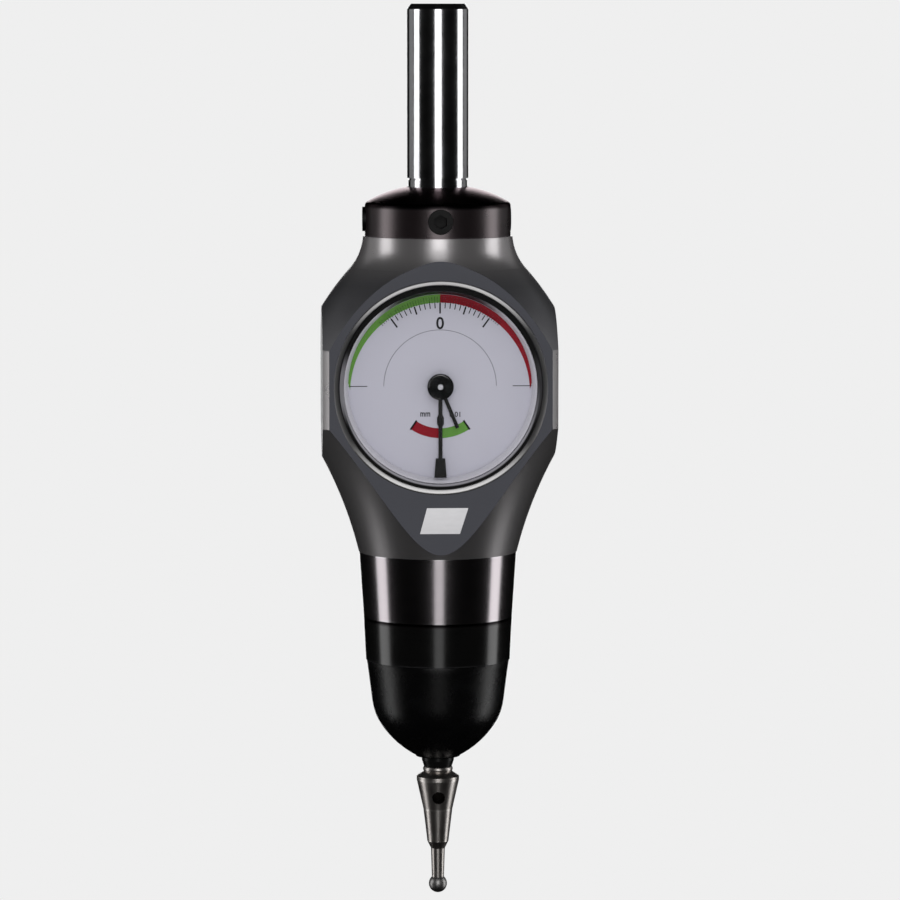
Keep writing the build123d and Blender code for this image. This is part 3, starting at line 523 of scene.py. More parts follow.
@dataclass(frozen=True)
class DialFace(Finish):
    """Silvered dial: fine circular brushing and painted shade darkening it towards the rim of its recess."""

    brush_pitch: float = 0.05
    brush_depth: float = 0.002
    brushing: Noise = (1.0, 2.0, 0.7)
    clouds: Noise = (0.12, 4.0, 0.5)
    grain: Noise = (12.0, 2.0, 0.5)
    contrast: float = 0.08
    rim_shade: Pair = (14.2, 15.6)

    def look(self, graph: Graph) -> Look:
        """Circular brushing, cloudy tone and painted shade towards the rim.

        Args:
            graph: The material's node tree.

        Returns:
            What varies.
        """
        x, y, z, where = graph.place()
        radius = x.slant(z - DIAL_Z)
        brushed = graph.noise(graph.vector(radius / self.brush_pitch, y, 0.0), self.brushing)
        cloud = graph.noise(where, self.clouds)
        tone = brushed * 0.3 + cloud * 0.3 + graph.noise(where, self.grain) * 0.4
        colour = graph.varied(self.colour, self.contrast, tone)
        # Painted shade: darker towards the rim of the recess.
        colour = graph.blend(colour, shade(self.colour, 0.72), radius.rise(*self.rim_shade) * 0.6)
        return Look(colour, self.rough + (cloud - 0.5) * 0.1, brushed, self.brush_depth)


@dataclass(frozen=True)
class Cone(Finish):
    """Matte pale ring with a painted shadow under the seal at the top."""

    painted_shadow: Rgb = (0.012, 0.012, 0.013)
    shadow_fade: Pair = (0.72, 0.93)
    ring_pitch: float = 0.06
    ring_depth: float = 0.001
    clouds: Noise = (0.5, 4.0, 0.5)
    contrast: float = 0.1

    def look(self, graph: Graph) -> Look:
        """Fine rings, cloudy tone and the painted shadow at the top.

        Args:
            graph: The material's node tree.

        Returns:
            What varies.
        """
        x, y, z, where = graph.place()
        up = z - DIAL_Z
        radius = x.slant(up)
        rings = graph.noise(graph.vector(radius / self.ring_pitch, y / self.ring_pitch, 0.0), TOOL_RINGS)
        cloud = graph.noise(where, self.clouds)
        colour = graph.varied(self.colour, self.contrast, rings * 0.6 + cloud * 0.4)
        # Painted shadow: the ring darkens towards the top, where the seal shades it.
        colour = graph.blend(colour, self.painted_shadow, (up / radius + (cloud - 0.5) * 0.1).rise(*self.shadow_fade))
        return Look(colour, self.rough + (rings - 0.5) * 0.1, rings, self.ring_depth)


@dataclass(frozen=True)
class Ink(Finish):
    """Screen-printed ink with uneven density."""

    clouds: Noise = (1.5, 4.0, 0.65)
    screen: Noise = (22.0, 1.0, 0.5)
    depth: float = 0.003

    def look(self, graph: Graph) -> Look:
        """Mottled density with tiny pinholes of the screen.

        Args:
            graph: The material's node tree.

        Returns:
            What varies.
        """
        *_, where = graph.place()
        cloud, screen = graph.noise(where, self.clouds), graph.noise(where, self.screen)
        colour = graph.blend(shade(self.colour, 0.85), shade(self.colour, 1.2), cloud * 0.7 + screen * 0.3)
        return Look(colour, self.rough + (cloud - 0.5) * 0.1, screen, self.depth)


@dataclass(frozen=True)
class Window(Finish):
    """Clear window with faint wiping marks."""

    haze: float = 0.02
    wipes: Noise = (0.45, 5.0, 0.6)
    specks: Noise = (8.0, 3.0, 0.7)
    depth: float = 0.001

    def look(self, graph: Graph) -> Look:
        """Almost clear, with a little more haze where it was wiped.

        Args:
            graph: The material's node tree.

        Returns:
            What varies.
        """
        x, y, z, where = graph.place()
        wiped = graph.noise(graph.vector(x * 0.4 + z, y, z * 0.4 - x), self.wipes)
        specks = graph.noise(where, self.specks).rise(0.68, 0.8)
        alpha = wiped.rise(0.45, 0.8) * self.haze + specks * 0.02 + self.haze
        return Look(self.colour, self.rough + wiped * 0.05, wiped, self.depth, alpha=alpha)


GROUND_STEEL = Turned(
    "ground_steel", (0.62, 0.62, 0.64), 0.15, 1.0, pitch=0.05, ring_depth=0.0006, contrast=0.07, smear=0.03,
    edges=((5.0, 27.3), (4.4, 28.2)), worn=(0.8, 0.8, 0.82), wear=0.5,
)
BLACK_COLLAR = Turned(
    "black_collar", (0.005, 0.003, 0.0035), 0.28, 0.0, ior=1.85, pitch=0.14, ring_depth=0.002, contrast=0.3,
    smear=0.012, crown=-4.7, tint=(1.0, 0.86, 0.89), edges=((11.9, -9.45),), worn=(0.1, 0.095, 0.1), wear=0.4,
)
BLACKENED = Turned(
    "blackened_steel", (0.002, 0.002, 0.002), 0.4, 0.0, specular=0.12, pitch=0.2, contrast=0.35, smear=0.06,
)
HOUSING_GREY = Anodised("grey_anodised", (0.053, 0.0545, 0.066), 0.55, specular=0.25)
SLEEVE_BLACK = Turned(
    "gloss_black", (0.32, 0.295, 0.308), 0.17, 1.0, pitch=0.2, ring_depth=0.0006, contrast=0.06, smear=0.012,
    edges=((12.9, -61.15), (12.2, -71.85)), worn=(0.5, 0.5, 0.51), wear=0.4,
)
RING_BLACK = Turned(
    "clamp_black", (0.002, 0.002, 0.002), 0.18, 0.0, ior=1.53, pitch=0.2, ring_depth=0.0008, contrast=0.4,
    smear=0.02, crown=-72.4, edges=((11.85, -79.0),), worn=(0.06, 0.06, 0.065), wear=0.2,
)
SOFT_BLACK = Rubber("black_rubber", (0.0012, 0.0012, 0.0014), 0.27, specular=0.3)
SEAL_BLACK = Seal("black_seal", (0.003, 0.003, 0.003), 0.5, specular=0.1)
PLASTIC_BLACK = Lacquer("black_plastic", (0.003, 0.003, 0.003), 0.3, specular=0.15, ripple=0.002)
BRIGHT_STEEL = Turned(
    "bright_steel", (0.43, 0.405, 0.385), 0.32, 1.0, pitch=0.1, ring_depth=0.0015, contrast=0.12, smear=0.04,
    edges=((3.5, -98.6), (3.5, -99.2), (2.4, -104.1), (1.75, -109.5)),
    worn=(0.8, 0.77, 0.74), wear=0.5, hole=(-101.9, 1.04),
)
POLISHED = Turned(
    "polished_ball", (0.3, 0.295, 0.29), 0.42, 1.0, pitch=0.08, ring_depth=0.0004, contrast=0.05, smear=0.02,
)
MACHINED = Turned("machined_steel", (0.55, 0.55, 0.56), 0.28, 1.0)
BRONZE = Turned("bronze", (0.5, 0.33, 0.16), 0.34, 1.0, contrast=0.18, smear=0.08)
BRASS = Turned("brass", (0.66, 0.48, 0.2), 0.26, 1.0, axis=Axis.DIAL, pitch=0.1, contrast=0.14)
SPRING_STEEL = Turned("spring_steel", (0.26, 0.26, 0.28), 0.3, 1.0, pitch=0.3, contrast=0.2, smear=0.08)
PALE_RING = Cone("pale_ring", (0.6, 0.59, 0.64), 0.45, specular=0.3)
DIAL_FACE = DialFace("dial_print", (0.5, 0.495, 0.57), 0.5, specular=0.2)
POINTER_BLACK = Lacquer("black_pointer", (0.003, 0.003, 0.003), 0.35, specular=0.15, ripple=0.001, cloud=0.6)
CAP_BLACK = Lacquer("gloss_cap", (0.004, 0.004, 0.004), 0.06, specular=0.8, ripple=0.001)
CLEAR = Window("clear_window", (0.2, 0.22, 0.25), 0.05, specular=0.3, haze=0.005)
GREEN_INK = Ink("green_ink", (0.1, 0.27, 0.035), 0.45, specular=0.2)
RED_INK = Ink("red_ink", (0.24, 0.001, 0.01), 0.45, specular=0.12)
BLACK_INK = Ink("black_ink", (0.01, 0.01, 0.012), 0.45, specular=0.2)
GREY_INK = Ink("grey_ink", (0.16, 0.16, 0.19), 0.42)
BADGE_WHITE = Lacquer(
    "badge_white", (0.58, 0.575, 0.59), 0.4, specular=0.3, ripple=0.0005, waves=(3.0, 2.0, 0.5), dust=0.02,
)


class Bench:
    """Modelling steps that several pieces share."""

    @staticmethod
    def clear() -> None:
        """Leave edit mode with nothing selected."""
        if bpy.context.mode != "OBJECT":
            bpy.ops.object.mode_set(mode="OBJECT")
        bpy.ops.object.select_all(action="DESELECT")

    @staticmethod
    def add(operator: Callable, **sizes: "float | str | Point") -> Piece:
        """Add one of Blender's plain shapes.

        Args:
            operator: Blender's operator for the shape.
            sizes: What the operator is given.

        Returns:
            The shape.
        """
        Bench.clear()
        operator(**sizes)
        return bpy.context.active_object

    @staticmethod
    def only(piece: Piece) -> None:
        """Select one piece and make it the active one.

        Args:
            piece: The piece.
        """
        Bench.clear()
        piece.select_set(True)
        bpy.context.view_layer.objects.active = piece

    @staticmethod
    @contextmanager
    def editing(piece: Piece) -> Iterator[None]:
        """Edit mode with all of a piece selected, until the indented lines end.

        Args:
            piece: The piece.

        Returns:
            What the with statement takes.
        """
        Bench.only(piece)
        bpy.ops.object.mode_set(mode="EDIT")
        bpy.ops.mesh.select_all(action="SELECT")
        yield
        bpy.ops.object.mode_set(mode="OBJECT")

    @staticmethod
    def cut(piece: Piece, test: Callable[[Vector], bool]) -> None:
        """Delete the faces whose centres pass a test.

        Args:
            piece: The piece.
            test: Says whether a face's centre goes.
        """
        with Bench.editing(piece):
            bpy.ops.mesh.select_mode(type="FACE")
            bpy.ops.mesh.select_all(action="DESELECT")
        for face in piece.data.polygons:
            face.select = test(face.center)
        bpy.ops.object.mode_set(mode="EDIT")
        bpy.ops.mesh.delete(type="FACE")
        bpy.ops.object.mode_set(mode="OBJECT")

    @staticmethod
    def smooth(piece: Piece, angle: float = 35.0) -> None:
        """Merge doubles, turn the faces outwards and shade smooth.

        Args:
            piece: The piece.
            angle: Largest angle that is shaded smooth, in degrees.
        """
        with Bench.editing(piece):
            bpy.ops.mesh.remove_doubles(threshold=1e-7)
            bpy.ops.mesh.normals_make_consistent(inside=False)
        bpy.ops.object.shade_smooth_by_angle(angle=math.radians(angle))

    @staticmethod
    def thicken(piece: Piece, thickness: float) -> None:
        """Give a flat piece in the XY plane a thickness towards +Z, in millimetres."""
        with Bench.editing(piece):
            bpy.ops.mesh.extrude_region_move(TRANSFORM_OT_translate={"value": (0.0, 0.0, thickness * MM)})

    @staticmethod
    def settle(piece: Piece, place: Point = ORIGIN, turn: Point = ORIGIN, scale: Pair = (1.0, 1.0)) -> None:
        """Put a place, a turn and a scale into a piece's mesh.

        Args:
            piece: The piece.
            place: Its place in metres.
            turn: Its turn in radians.
            scale: Its scale along X and Y.
        """
        Bench.only(piece)
        piece.location, piece.rotation_euler, piece.scale = place, turn, (*scale, 1.0)
        bpy.ops.object.transform_apply(location=True, rotation=True, scale=True)

    @staticmethod
    def stand(piece: Piece, y: float, z: float) -> None:
        """Stand a flat piece up to face -Y, with its back at y and its centre at z, in millimetres."""
        Bench.settle(piece, (0.0, y * MM, z * MM), (math.radians(90), 0.0, 0.0))

    @staticmethod
    def spin(section: list[Point], centre: Point, axis: Point, steps: int) -> Piece:
        """Spin a closed section into a ring.

        Args:
            section: Its corners, in millimetres.
            centre: A point on the turning axis, in millimetres.
            axis: The turning axis.
            steps: Steps in the full turn.

        Returns:
            The ring.
        """
        ring = Bench.add(bpy.ops.mesh.primitive_circle_add, vertices=len(section), radius=MM)
        for vertex, corner in zip(ring.data.vertices, section):
            vertex.co = [c * MM for c in corner]
        with Bench.editing(ring):
            bpy.ops.mesh.spin(steps=steps, angle=math.tau, center=[c * MM for c in centre], axis=axis)
        return ring

    @staticmethod
    def join(pieces: list[Piece]) -> Piece:
        """Join several pieces into the first.

        Args:
            pieces: The pieces.

        Returns:
            The first, which now holds all of them.
        """
        Bench.only(pieces[0])
        for piece in pieces:
            piece.select_set(True)
        bpy.ops.object.join()
        return pieces[0]

    @staticmethod
    def finish(piece: Piece, name: str, body: str, slot: str, finish: Finish) -> Piece:
        """Name a piece, give it its finish and tie it to its body.

        Args:
            piece: The piece.
            name: Its name.
            body: The CAD body that it rides on.
            slot: The record's material slot; not used.
            finish: Its finish.

        Returns:
            The piece.
        """
        piece.name = piece.data.name = name
        piece.data.materials.clear()
        piece.data.materials.append(finish.material())
        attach(piece, body)
        LOG.info("piece %s: %d faces on %s", name, len(piece.data.polygons), body)
        return piece


def dress(finish: Finish, *nodes: str) -> None:
    """Give CAD nodes a finish.

    Args:
        finish: The finish.
        nodes: The nodes' names.
    """
    for node in nodes:
        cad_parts[node].material_slots[0].material = finish.material()
        LOG.info("node %s: %s", node, finish.name)


@dataclass
class Shank:
    """Ground shank, its collar and the adjusting screws."""

    def build(self) -> None:
        """Dress the three nodes."""
        dress(GROUND_STEEL, "shank")
        dress(BLACK_COLLAR, "collar")
        dress(BLACKENED, "adjusting_screws")


@dataclass
class Housing:
    """Grey housing with a blank badge field on its front flat."""

    badge: tuple[Pair, ...] = ((-2.28, -52.7), (4.39, -52.7), (-3.41, -56.9), (3.04, -56.9))
    badge_face: float = -13.2
    badge_sunk: float = 0.01
    badge_thickness: float = 0.06
    badge_bevel: float = 0.02

    def build(self) -> None:
        """Dress the housing and build the badge field."""
        dress(HOUSING_GREY, "housing_body")
        self.build_badge()

    def build_badge(self) -> Piece:
        """Slanted plate with softened edges.

        Returns:
            The badge field.
        """
        plate = Bench.add(bpy.ops.mesh.primitive_plane_add, size=MM)
        order = sorted(plate.data.vertices, key=lambda v: (-v.co.y, v.co.x))
        for vertex, (x, z) in zip(order, self.badge):
            vertex.co = (x * MM, z * MM, 0.0)
        Bench.thicken(plate, self.badge_thickness)
        with Bench.editing(plate):
            bpy.ops.mesh.normals_make_consistent(inside=False)
            bpy.ops.mesh.bevel(offset=self.badge_bevel * MM, segments=2, affect="EDGES")
        Bench.stand(plate, self.badge_face + self.badge_sunk, 0.0)
        Bench.smooth(plate)
        return Bench.finish(plate, "badge_field", "housing", "pale_ring", BADGE_WHITE)


@dataclass
class Dial:
    """Dial plate with its print, window, seal and spacer ring."""

    face: float = -9.2
    ink: float = 0.03
    sunk: float = 0.01
    segments: int = 200
    cone_front: Pair = (-11.68, 15.5)
    cone_back: Pair = (-9.24, 14.9)
    cone_outer: float = 15.62
    cone_lip: float = 0.06
    cone_bevel: float = 0.05
    cone_bulge: float = 0.03
    band_outer: float = 14.85
    band_inner: float = 14.54
    band_drop: float = 1.04
    arc_outer: float = 8.45
    arc_inner: float = 6.85
    arc_half: float = 34.2
    arc_end_past: float = 0.1
    arc_end_width: float = 0.3
    guide_radius: float = 9.1
    guide_half: float = 0.05
    ticks: int = 10
    tick_step: float = 3.6
    tick_outer: float = 13.45
    tick_long: float = 11.75
    tick_short: float = 12.6
    tick_width: float = 0.16
    tick_long_width: float = 0.26
    fine_ticks: int = 24
    fine_outer: float = 14.5
    fine_shorter: float = 0.2
    fine_width: float = 0.1
    side_outer: float = 14.8
    side_width: float = 0.12
    text_size: float = 4.0
    figures: tuple[tuple[str, float, float, float, float, float], ...] = (
        ("0", 0.0, 10.2, 1.25, 2.0, 0.07),
        ("mm", -2.4, -4.6, 1.6, 0.7, 0.09),
        ("0.01", 2.4, -4.6, 1.75, 0.85, 0.06),
    )

    def build(self) -> None:
        """Dress the nodes and print the dial."""
        dress(DIAL_FACE, "dial_plate")
        dress(SEAL_BLACK, "crystal_seal")
        dress(CLEAR, "crystal")
        self.build_cone()
        self.print_bands()
        self.print_arcs()
        self.print_ticks()
        self.print_figures()

    def build_cone(self) -> Piece:
        """Conical ring from the window's edge down to the dial, spun from its section.

        Returns:
            The ring.
        """
        (front_y, front_r), (back_y, back_r) = self.cone_front, self.cone_back
        outer, lip, bevel = self.cone_outer, self.cone_lip, self.cone_bevel
        section = [
            (outer - bevel, front_y), (front_r + lip, front_y), (front_r, front_y + lip),
            ((front_r + back_r) / 2 + self.cone_bulge, (front_y + back_y) / 2),
            (back_r, back_y - bevel), (back_r + bevel, back_y), (outer, back_y), (outer, front_y + bevel),
        ]
        corners = [(radius, y, DIAL_Z) for radius, y in section]
        cone = Bench.spin(corners, (0.0, 0.0, DIAL_Z), (0.0, 1.0, 0.0), self.segments)
        Bench.smooth(cone, 40.0)
        Bench.finish(cone, "dial_cone", "housing", "pale_ring", PALE_RING)
        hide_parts("spacer_ring")
        return cone

    def ring(self, outer: float, inner: float, drop: float = 0.0) -> Piece:
        """Flat ring in the XY plane.

        Args:
            outer: Outer radius.
            inner: Inner radius.
            drop: How far the inner circle's centre lies below the outer one's.

        Returns:
            The ring.
        """
        circle = bpy.ops.mesh.primitive_circle_add
        ring = Bench.add(circle, vertices=self.segments, radius=outer * MM)
        with Bench.editing(ring):
            circle(vertices=self.segments, radius=inner * MM, location=(0.0, -drop * MM, 0.0))
            bpy.ops.mesh.select_all(action="SELECT")
            bpy.ops.mesh.bridge_edge_loops()
        return ring

    def printed(self, piece: Piece, name: str, finish: Finish) -> Piece:
        """Thicken a flat drawing into ink on the dial.

        Args:
            piece: The drawing, in the XY plane about the origin.
            name: The piece's name.
            finish: Its ink.

        Returns:
            The piece.
        """
        Bench.thicken(piece, self.ink)
        Bench.stand(piece, self.face + self.sunk, DIAL_Z)
        Bench.smooth(piece)
        return Bench.finish(piece, name, "housing", "dial_print", finish)

    def print_bands(self) -> None:
        """Crescents at the top: green to the left of zero and red to its right."""
        for name, side, finish in (("band_green", -1, GREEN_INK), ("band_red", 1, RED_INK)):
            band = self.ring(self.band_outer, self.band_inner, self.band_drop)
            Bench.cut(band, lambda c, side=side: c.y <= 0 or c.x * side <= 0)
            self.printed(band, name, finish)

    def print_arcs(self) -> None:
        """Short pointer's arcs at the bottom, and the thin guide arc above."""
        half = math.radians(self.arc_half)
        for name, side, finish in (("arc_red", -1, RED_INK), ("arc_green", 1, GREEN_INK)):
            arc = self.ring(self.arc_outer, self.arc_inner)
            Bench.cut(arc, lambda c, side=side: c.x * side <= 0 or abs(math.atan2(c.x, -c.y)) >= half)
            self.printed(arc, name, finish)
        guide = self.ring(self.guide_radius + self.guide_half, self.guide_radius - self.guide_half)
        Bench.cut(guide, lambda c: c.y <= 0)
        self.printed(guide, "guide_arc", GREY_INK)

    def bar(self, near: float, far: float, width: float, turn: float) -> Piece:
        """Radial bar in the XY plane.

        Args:
            near: Radius of its inner end.
            far: Radius of its outer end.
            width: Its width.
            turn: Angle from 12 o'clock, clockwise, in degrees.

        Returns:
            The bar.
        """
        bar = Bench.add(bpy.ops.mesh.primitive_plane_add, size=MM)
        Bench.settle(bar, (0.0, (far + near) / 2 * MM, 0.0), scale=(width, far - near))
        Bench.settle(bar, turn=(0.0, 0.0, -math.radians(turn)))
        return bar

    def print_ticks(self) -> None:
        """Scale beside zero, the marks at 3 and 9 o'clock and the ends of the short pointer's arcs."""
        bars = []
        for k in range(-self.ticks, self.ticks + 1):
            near = self.tick_short
            if k % 10 == 0:
                near = self.tick_long
            elif k % 5 == 0:
                near = (self.tick_long + self.tick_short) / 2
            width = self.tick_width if k % 5 else self.tick_long_width
            bars.append(self.bar(near, self.tick_outer, width, k * self.tick_step))
        for k in range(-self.fine_ticks, self.fine_ticks + 1):
            far = self.fine_outer - self.fine_shorter * abs(k) / self.fine_ticks
            bars.append(self.bar(self.tick_outer, far, self.fine_width, k * self.tick_step / 2))
        for turn in (90.0, 270.0):
            bars.append(self.bar(self.tick_long, self.side_outer, self.side_width, turn))
        near, far = self.arc_inner - self.arc_end_past, self.arc_outer + self.arc_end_past
        for turn in (180 - self.arc_half, 180 + self.arc_half):
            bars.append(self.bar(near, far, self.arc_end_width, turn))
        self.printed(Bench.join(bars), "dial_ticks", BLACK_INK)

    def figure(self, text: str, x: float, y: float, width: float, height: float, bold: float) -> Piece:
        """Text as a flat mesh of a given size.

        Args:
            text: The text.
            x: Centre to the right of the dial's.
            y: Centre above the dial's.
            width: Its width.
            height: Its height.
            bold: How far its strokes grow to each side before it is scaled.

        Returns:
            The flat text.
        """
        figure = Bench.add(bpy.ops.object.text_add)
        figure.data.body = text
        figure.data.size = self.text_size * MM
        figure.data.resolution_u = 6
        figure.data.offset = bold * MM
        bpy.ops.object.convert(target="MESH")
        figure = bpy.context.active_object
        xs, ys = [v.co.x for v in figure.data.vertices], [v.co.y for v in figure.data.vertices]
        wide, tall = width * MM / (max(xs) - min(xs)), height * MM / (max(ys) - min(ys))
        place = (x * MM - wide * (max(xs) + min(xs)) / 2, y * MM - tall * (max(ys) + min(ys)) / 2, 0.0)
        Bench.settle(figure, place, scale=(wide, tall))
        return figure

    def print_figures(self) -> None:
        """Zero at the top and the unit beside the pointer."""
        self.printed(Bench.join([self.figure(*figure) for figure in self.figures]), "dial_figures", BLACK_INK)


@dataclass
class Pointers:
    """Both pointers, their cap and what carries them."""

    def build(self) -> None:
        """Dress the nodes."""
        dress(POINTER_BLACK, "long_pointer", "short_pointer")
        dress(CAP_BLACK, "hub_cap")
        dress(SPRING_STEEL, "centre_arbor")


@dataclass
class LowerEnd:
    """Sleeve, clamp ring, rubber boot and the spring inside."""

    boot_top: float = -79.0
    boot_corner: float = -87.6
    boot_mouth: float = -95.4
    boot_top_radius: float = 11.7
    boot_corner_radius: float = 10.6
    boot_mouth_radius: float = 2.95
    boot_rim: tuple[Pair, ...] = ((0.25, 0.0), (0.04, 0.12), (0.02, 0.35))
    boot_steps: int = 120
    corner_reach: float = 1.84
    taper_steps: int = 6
    dome_radius: float = 15.6
    dome_start: float = 0.15
    dome_run: float = 0.77
    dome_steps: int = 9
    wall: float = 0.8
    opening: float = 3.5
    lip: tuple[Pair, ...] = ((0.13, 0.2), (0.03, 0.24), (0.0, 0.34))
    inside_shares: tuple[float, ...] = (0.85, 0.65, 0.45, 0.25)
    inside_corner: float = -87.0
    bead_radius: float = 9.9
    bead_top: float = -76.1
    bead_foot: float = -80.0
    spring_top: float = -57.33
    spring_low: float = -71.49
    spring_radius: float = 4.3
    wire_radius: float = 0.38
    turns: int = 5
    turn_steps: int = 24
    flat_ends: float = 0.09
    lift: float = 2.8

    def build(self) -> None:
        """Dress the rigid nodes and build the soft pieces."""
        dress(SLEEVE_BLACK, "sleeve")
        dress(RING_BLACK, "clamp_ring")
        dress(MACHINED, "seat_ring", "spring_collar", "plunger", "upper_yoke", "joint_cross", "lower_yoke")
        dress(BRONZE, "upper_bush", "lower_bush")
        self.build_boot()
        self.build_spring()

    def dome(self, share: float) -> Pair:
        """Point on the dome's outside.

        Args:
            share: 0 at the corner and 1 at the mouth.

        Returns:
            Radius and height.
        """
        (ra, za), (rb, zb) = (self.boot_corner_radius, self.boot_corner), (self.boot_mouth_radius, self.boot_mouth)
        chord = math.hypot(rb - ra, zb - za)
        rise = math.sqrt(self.dome_radius**2 - (chord / 2) ** 2)
        centre_r = (ra + rb) / 2 + (zb - za) / chord * rise
        centre_z = (za + zb) / 2 - (rb - ra) / chord * rise
        start = math.atan2(za - centre_z, ra - centre_r)
        end = math.atan2(zb - centre_z, rb - centre_r)
        angle = start + (end - start) * share
        return centre_r + self.dome_radius * math.cos(angle), centre_z + self.dome_radius * math.sin(angle)

    def corner(self, share: float) -> Pair:
        """Point on the rounded corner between the tapered wall and the dome.

        Args:
            share: 0 at the wall and 1 at the dome.

        Returns:
            Radius and height.
        """
        slope = (self.boot_top_radius - self.boot_corner_radius) / (self.boot_top - self.boot_corner)
        wall = (self.boot_corner_radius + slope * self.corner_reach, self.boot_corner + self.corner_reach)
        sharp, dome, left = (self.boot_corner_radius, self.boot_corner), self.dome(self.dome_start), 1.0 - share
        return tuple(
            left * left * wall[i] + 2 * left * share * sharp[i] + share * share * dome[i] for i in range(2)
        )

    def boot_outline(self) -> list[Pair]:
        """Closed section of the boot, round the outside and back inside.

        Returns:
            Its points as radius and height.
        """
        top, opening, wall, steps = self.boot_top_radius, self.opening, self.wall, self.taper_steps
        outline = [(top - inwards, self.boot_top - down) for inwards, down in self.boot_rim]
        foot_radius, foot = self.corner(0.0)
        outline += [
            (top + (foot_radius - top) * k / steps, self.boot_top + (foot - self.boot_top) * k / steps)
            for k in range(1, steps)
        ]
        outline += [self.corner(k / steps) for k in range(steps + 1)]
        outline += [
            self.dome(self.dome_start + self.dome_run * k / self.dome_steps) for k in range(1, self.dome_steps + 1)
        ]
        outline += [(opening + outwards, self.boot_mouth + up) for outwards, up in self.lip]
        outline += [(opening, self.boot_mouth + wall)]
        outline += [(radius - wall * 0.35, z + wall) for radius, z in map(self.dome, self.inside_shares)]
        outline += [(self.boot_corner_radius - wall, self.inside_corner)]
        outline += [(self.bead_radius - wall, self.bead_foot), (self.bead_radius - wall, self.bead_top)]
        return outline + [(self.bead_radius, self.bead_top), (self.bead_radius, self.boot_top)]

    def build_boot(self) -> Piece:
        """Boot spun from its section.

        Returns:
            The boot.
        """
        corners = [(radius, 0.0, z) for radius, z in self.boot_outline()]
        boot = Bench.spin(corners, (0.0, 0.0, 0.0), (0.0, 0.0, 1.0), self.boot_steps)
        Bench.smooth(boot, 50.0)
        Bench.finish(boot, "rubber_boot", "housing", "black_rubber", SOFT_BLACK)
        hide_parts("boot")
        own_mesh(boot)
        return boot

    def build_spring(self) -> Piece:
        """Round wire spring whose end turns lie nearly flat.

        Returns:
            The spring.
        """
        low, high = self.spring_low + self.wire_radius, self.spring_top - self.wire_radius
        curve = bpy.data.curves.new("spring_line", "CURVE")
        curve.dimensions = "3D"
        curve.bevel_depth = self.wire_radius * MM
        curve.bevel_resolution = 4
        curve.use_fill_caps = True
        line = curve.splines.new("POLY")
        line.points.add(self.turns * self.turn_steps)
        for k, point in enumerate(line.points):
            share = k / (self.turns * self.turn_steps)
            angle = math.tau * self.turns * share
            eased = share - math.sin(math.tau * share) * self.flat_ends
            x, y = self.spring_radius * math.cos(angle), self.spring_radius * math.sin(angle)
            point.co = (x * MM, y * MM, (low + (high - low) * eased) * MM, 1.0)
        Bench.only(new_object("spring_line", curve))
        bpy.ops.object.convert(target="MESH")
        spring = bpy.context.active_object
        Bench.smooth(spring, 60.0)
        Bench.finish(spring, "wire_spring", "housing", "spring_steel", SPRING_STEEL)
        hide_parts("return_spring")
        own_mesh(spring)
        return spring


@dataclass
class Probe:
    """Probe collar, insert and ball."""

    def build(self) -> None:
        """Dress the nodes."""
        dress(PLASTIC_BLACK, "probe_collar")
        dress(BRIGHT_STEEL, "probe_insert")
        dress(POLISHED, "probe_ball")


@dataclass
class Movement:
    """Plates, wheels and arbors behind the dial."""

    def build(self) -> None:
        """Dress the nodes."""
        dress(BRASS, "front_plate", "rear_plate", "pillars", "support_posts", "drive_wheel")
        dress(BRASS, "cannon_pinion", "counter_wheel", "hour_wheel", "collet")
        dress(MACHINED, "plate_screws", "rack_pinion", "counter_stud")
        dress(SPRING_STEEL, "hairspring")


@dataclass(frozen=True)
class Lamp:
    """Soft lamp beside the object, in degrees and metres; gloss sees it in front of the dark cards."""

    name: str
    azimuth: float
    width: float
    low: float
    high: float
    radiance: float

    def build(self, reach: float) -> Piece:
        """Stand the lamp up.

        Args:
            reach: Its distance from the tool's axis.

        Returns:
            The lamp.
        """
        turn, tall = math.radians(self.azimuth), self.high - self.low
        data = bpy.data.lights.new(self.name, "AREA")
        data.shape, data.size, data.size_y = "RECTANGLE", self.width, tall
        data.energy = self.radiance * math.pi * self.width * tall
        lamp = new_object(self.name, data)
        lamp.location = (reach * math.sin(turn), -reach * math.cos(turn), (self.low + self.high) / 2)
        aim = -lamp.location.xy.to_3d()
        lamp.rotation_euler = aim.to_track_quat("-Z", "Y").to_euler()
        lamp.visible_camera = False
        return lamp


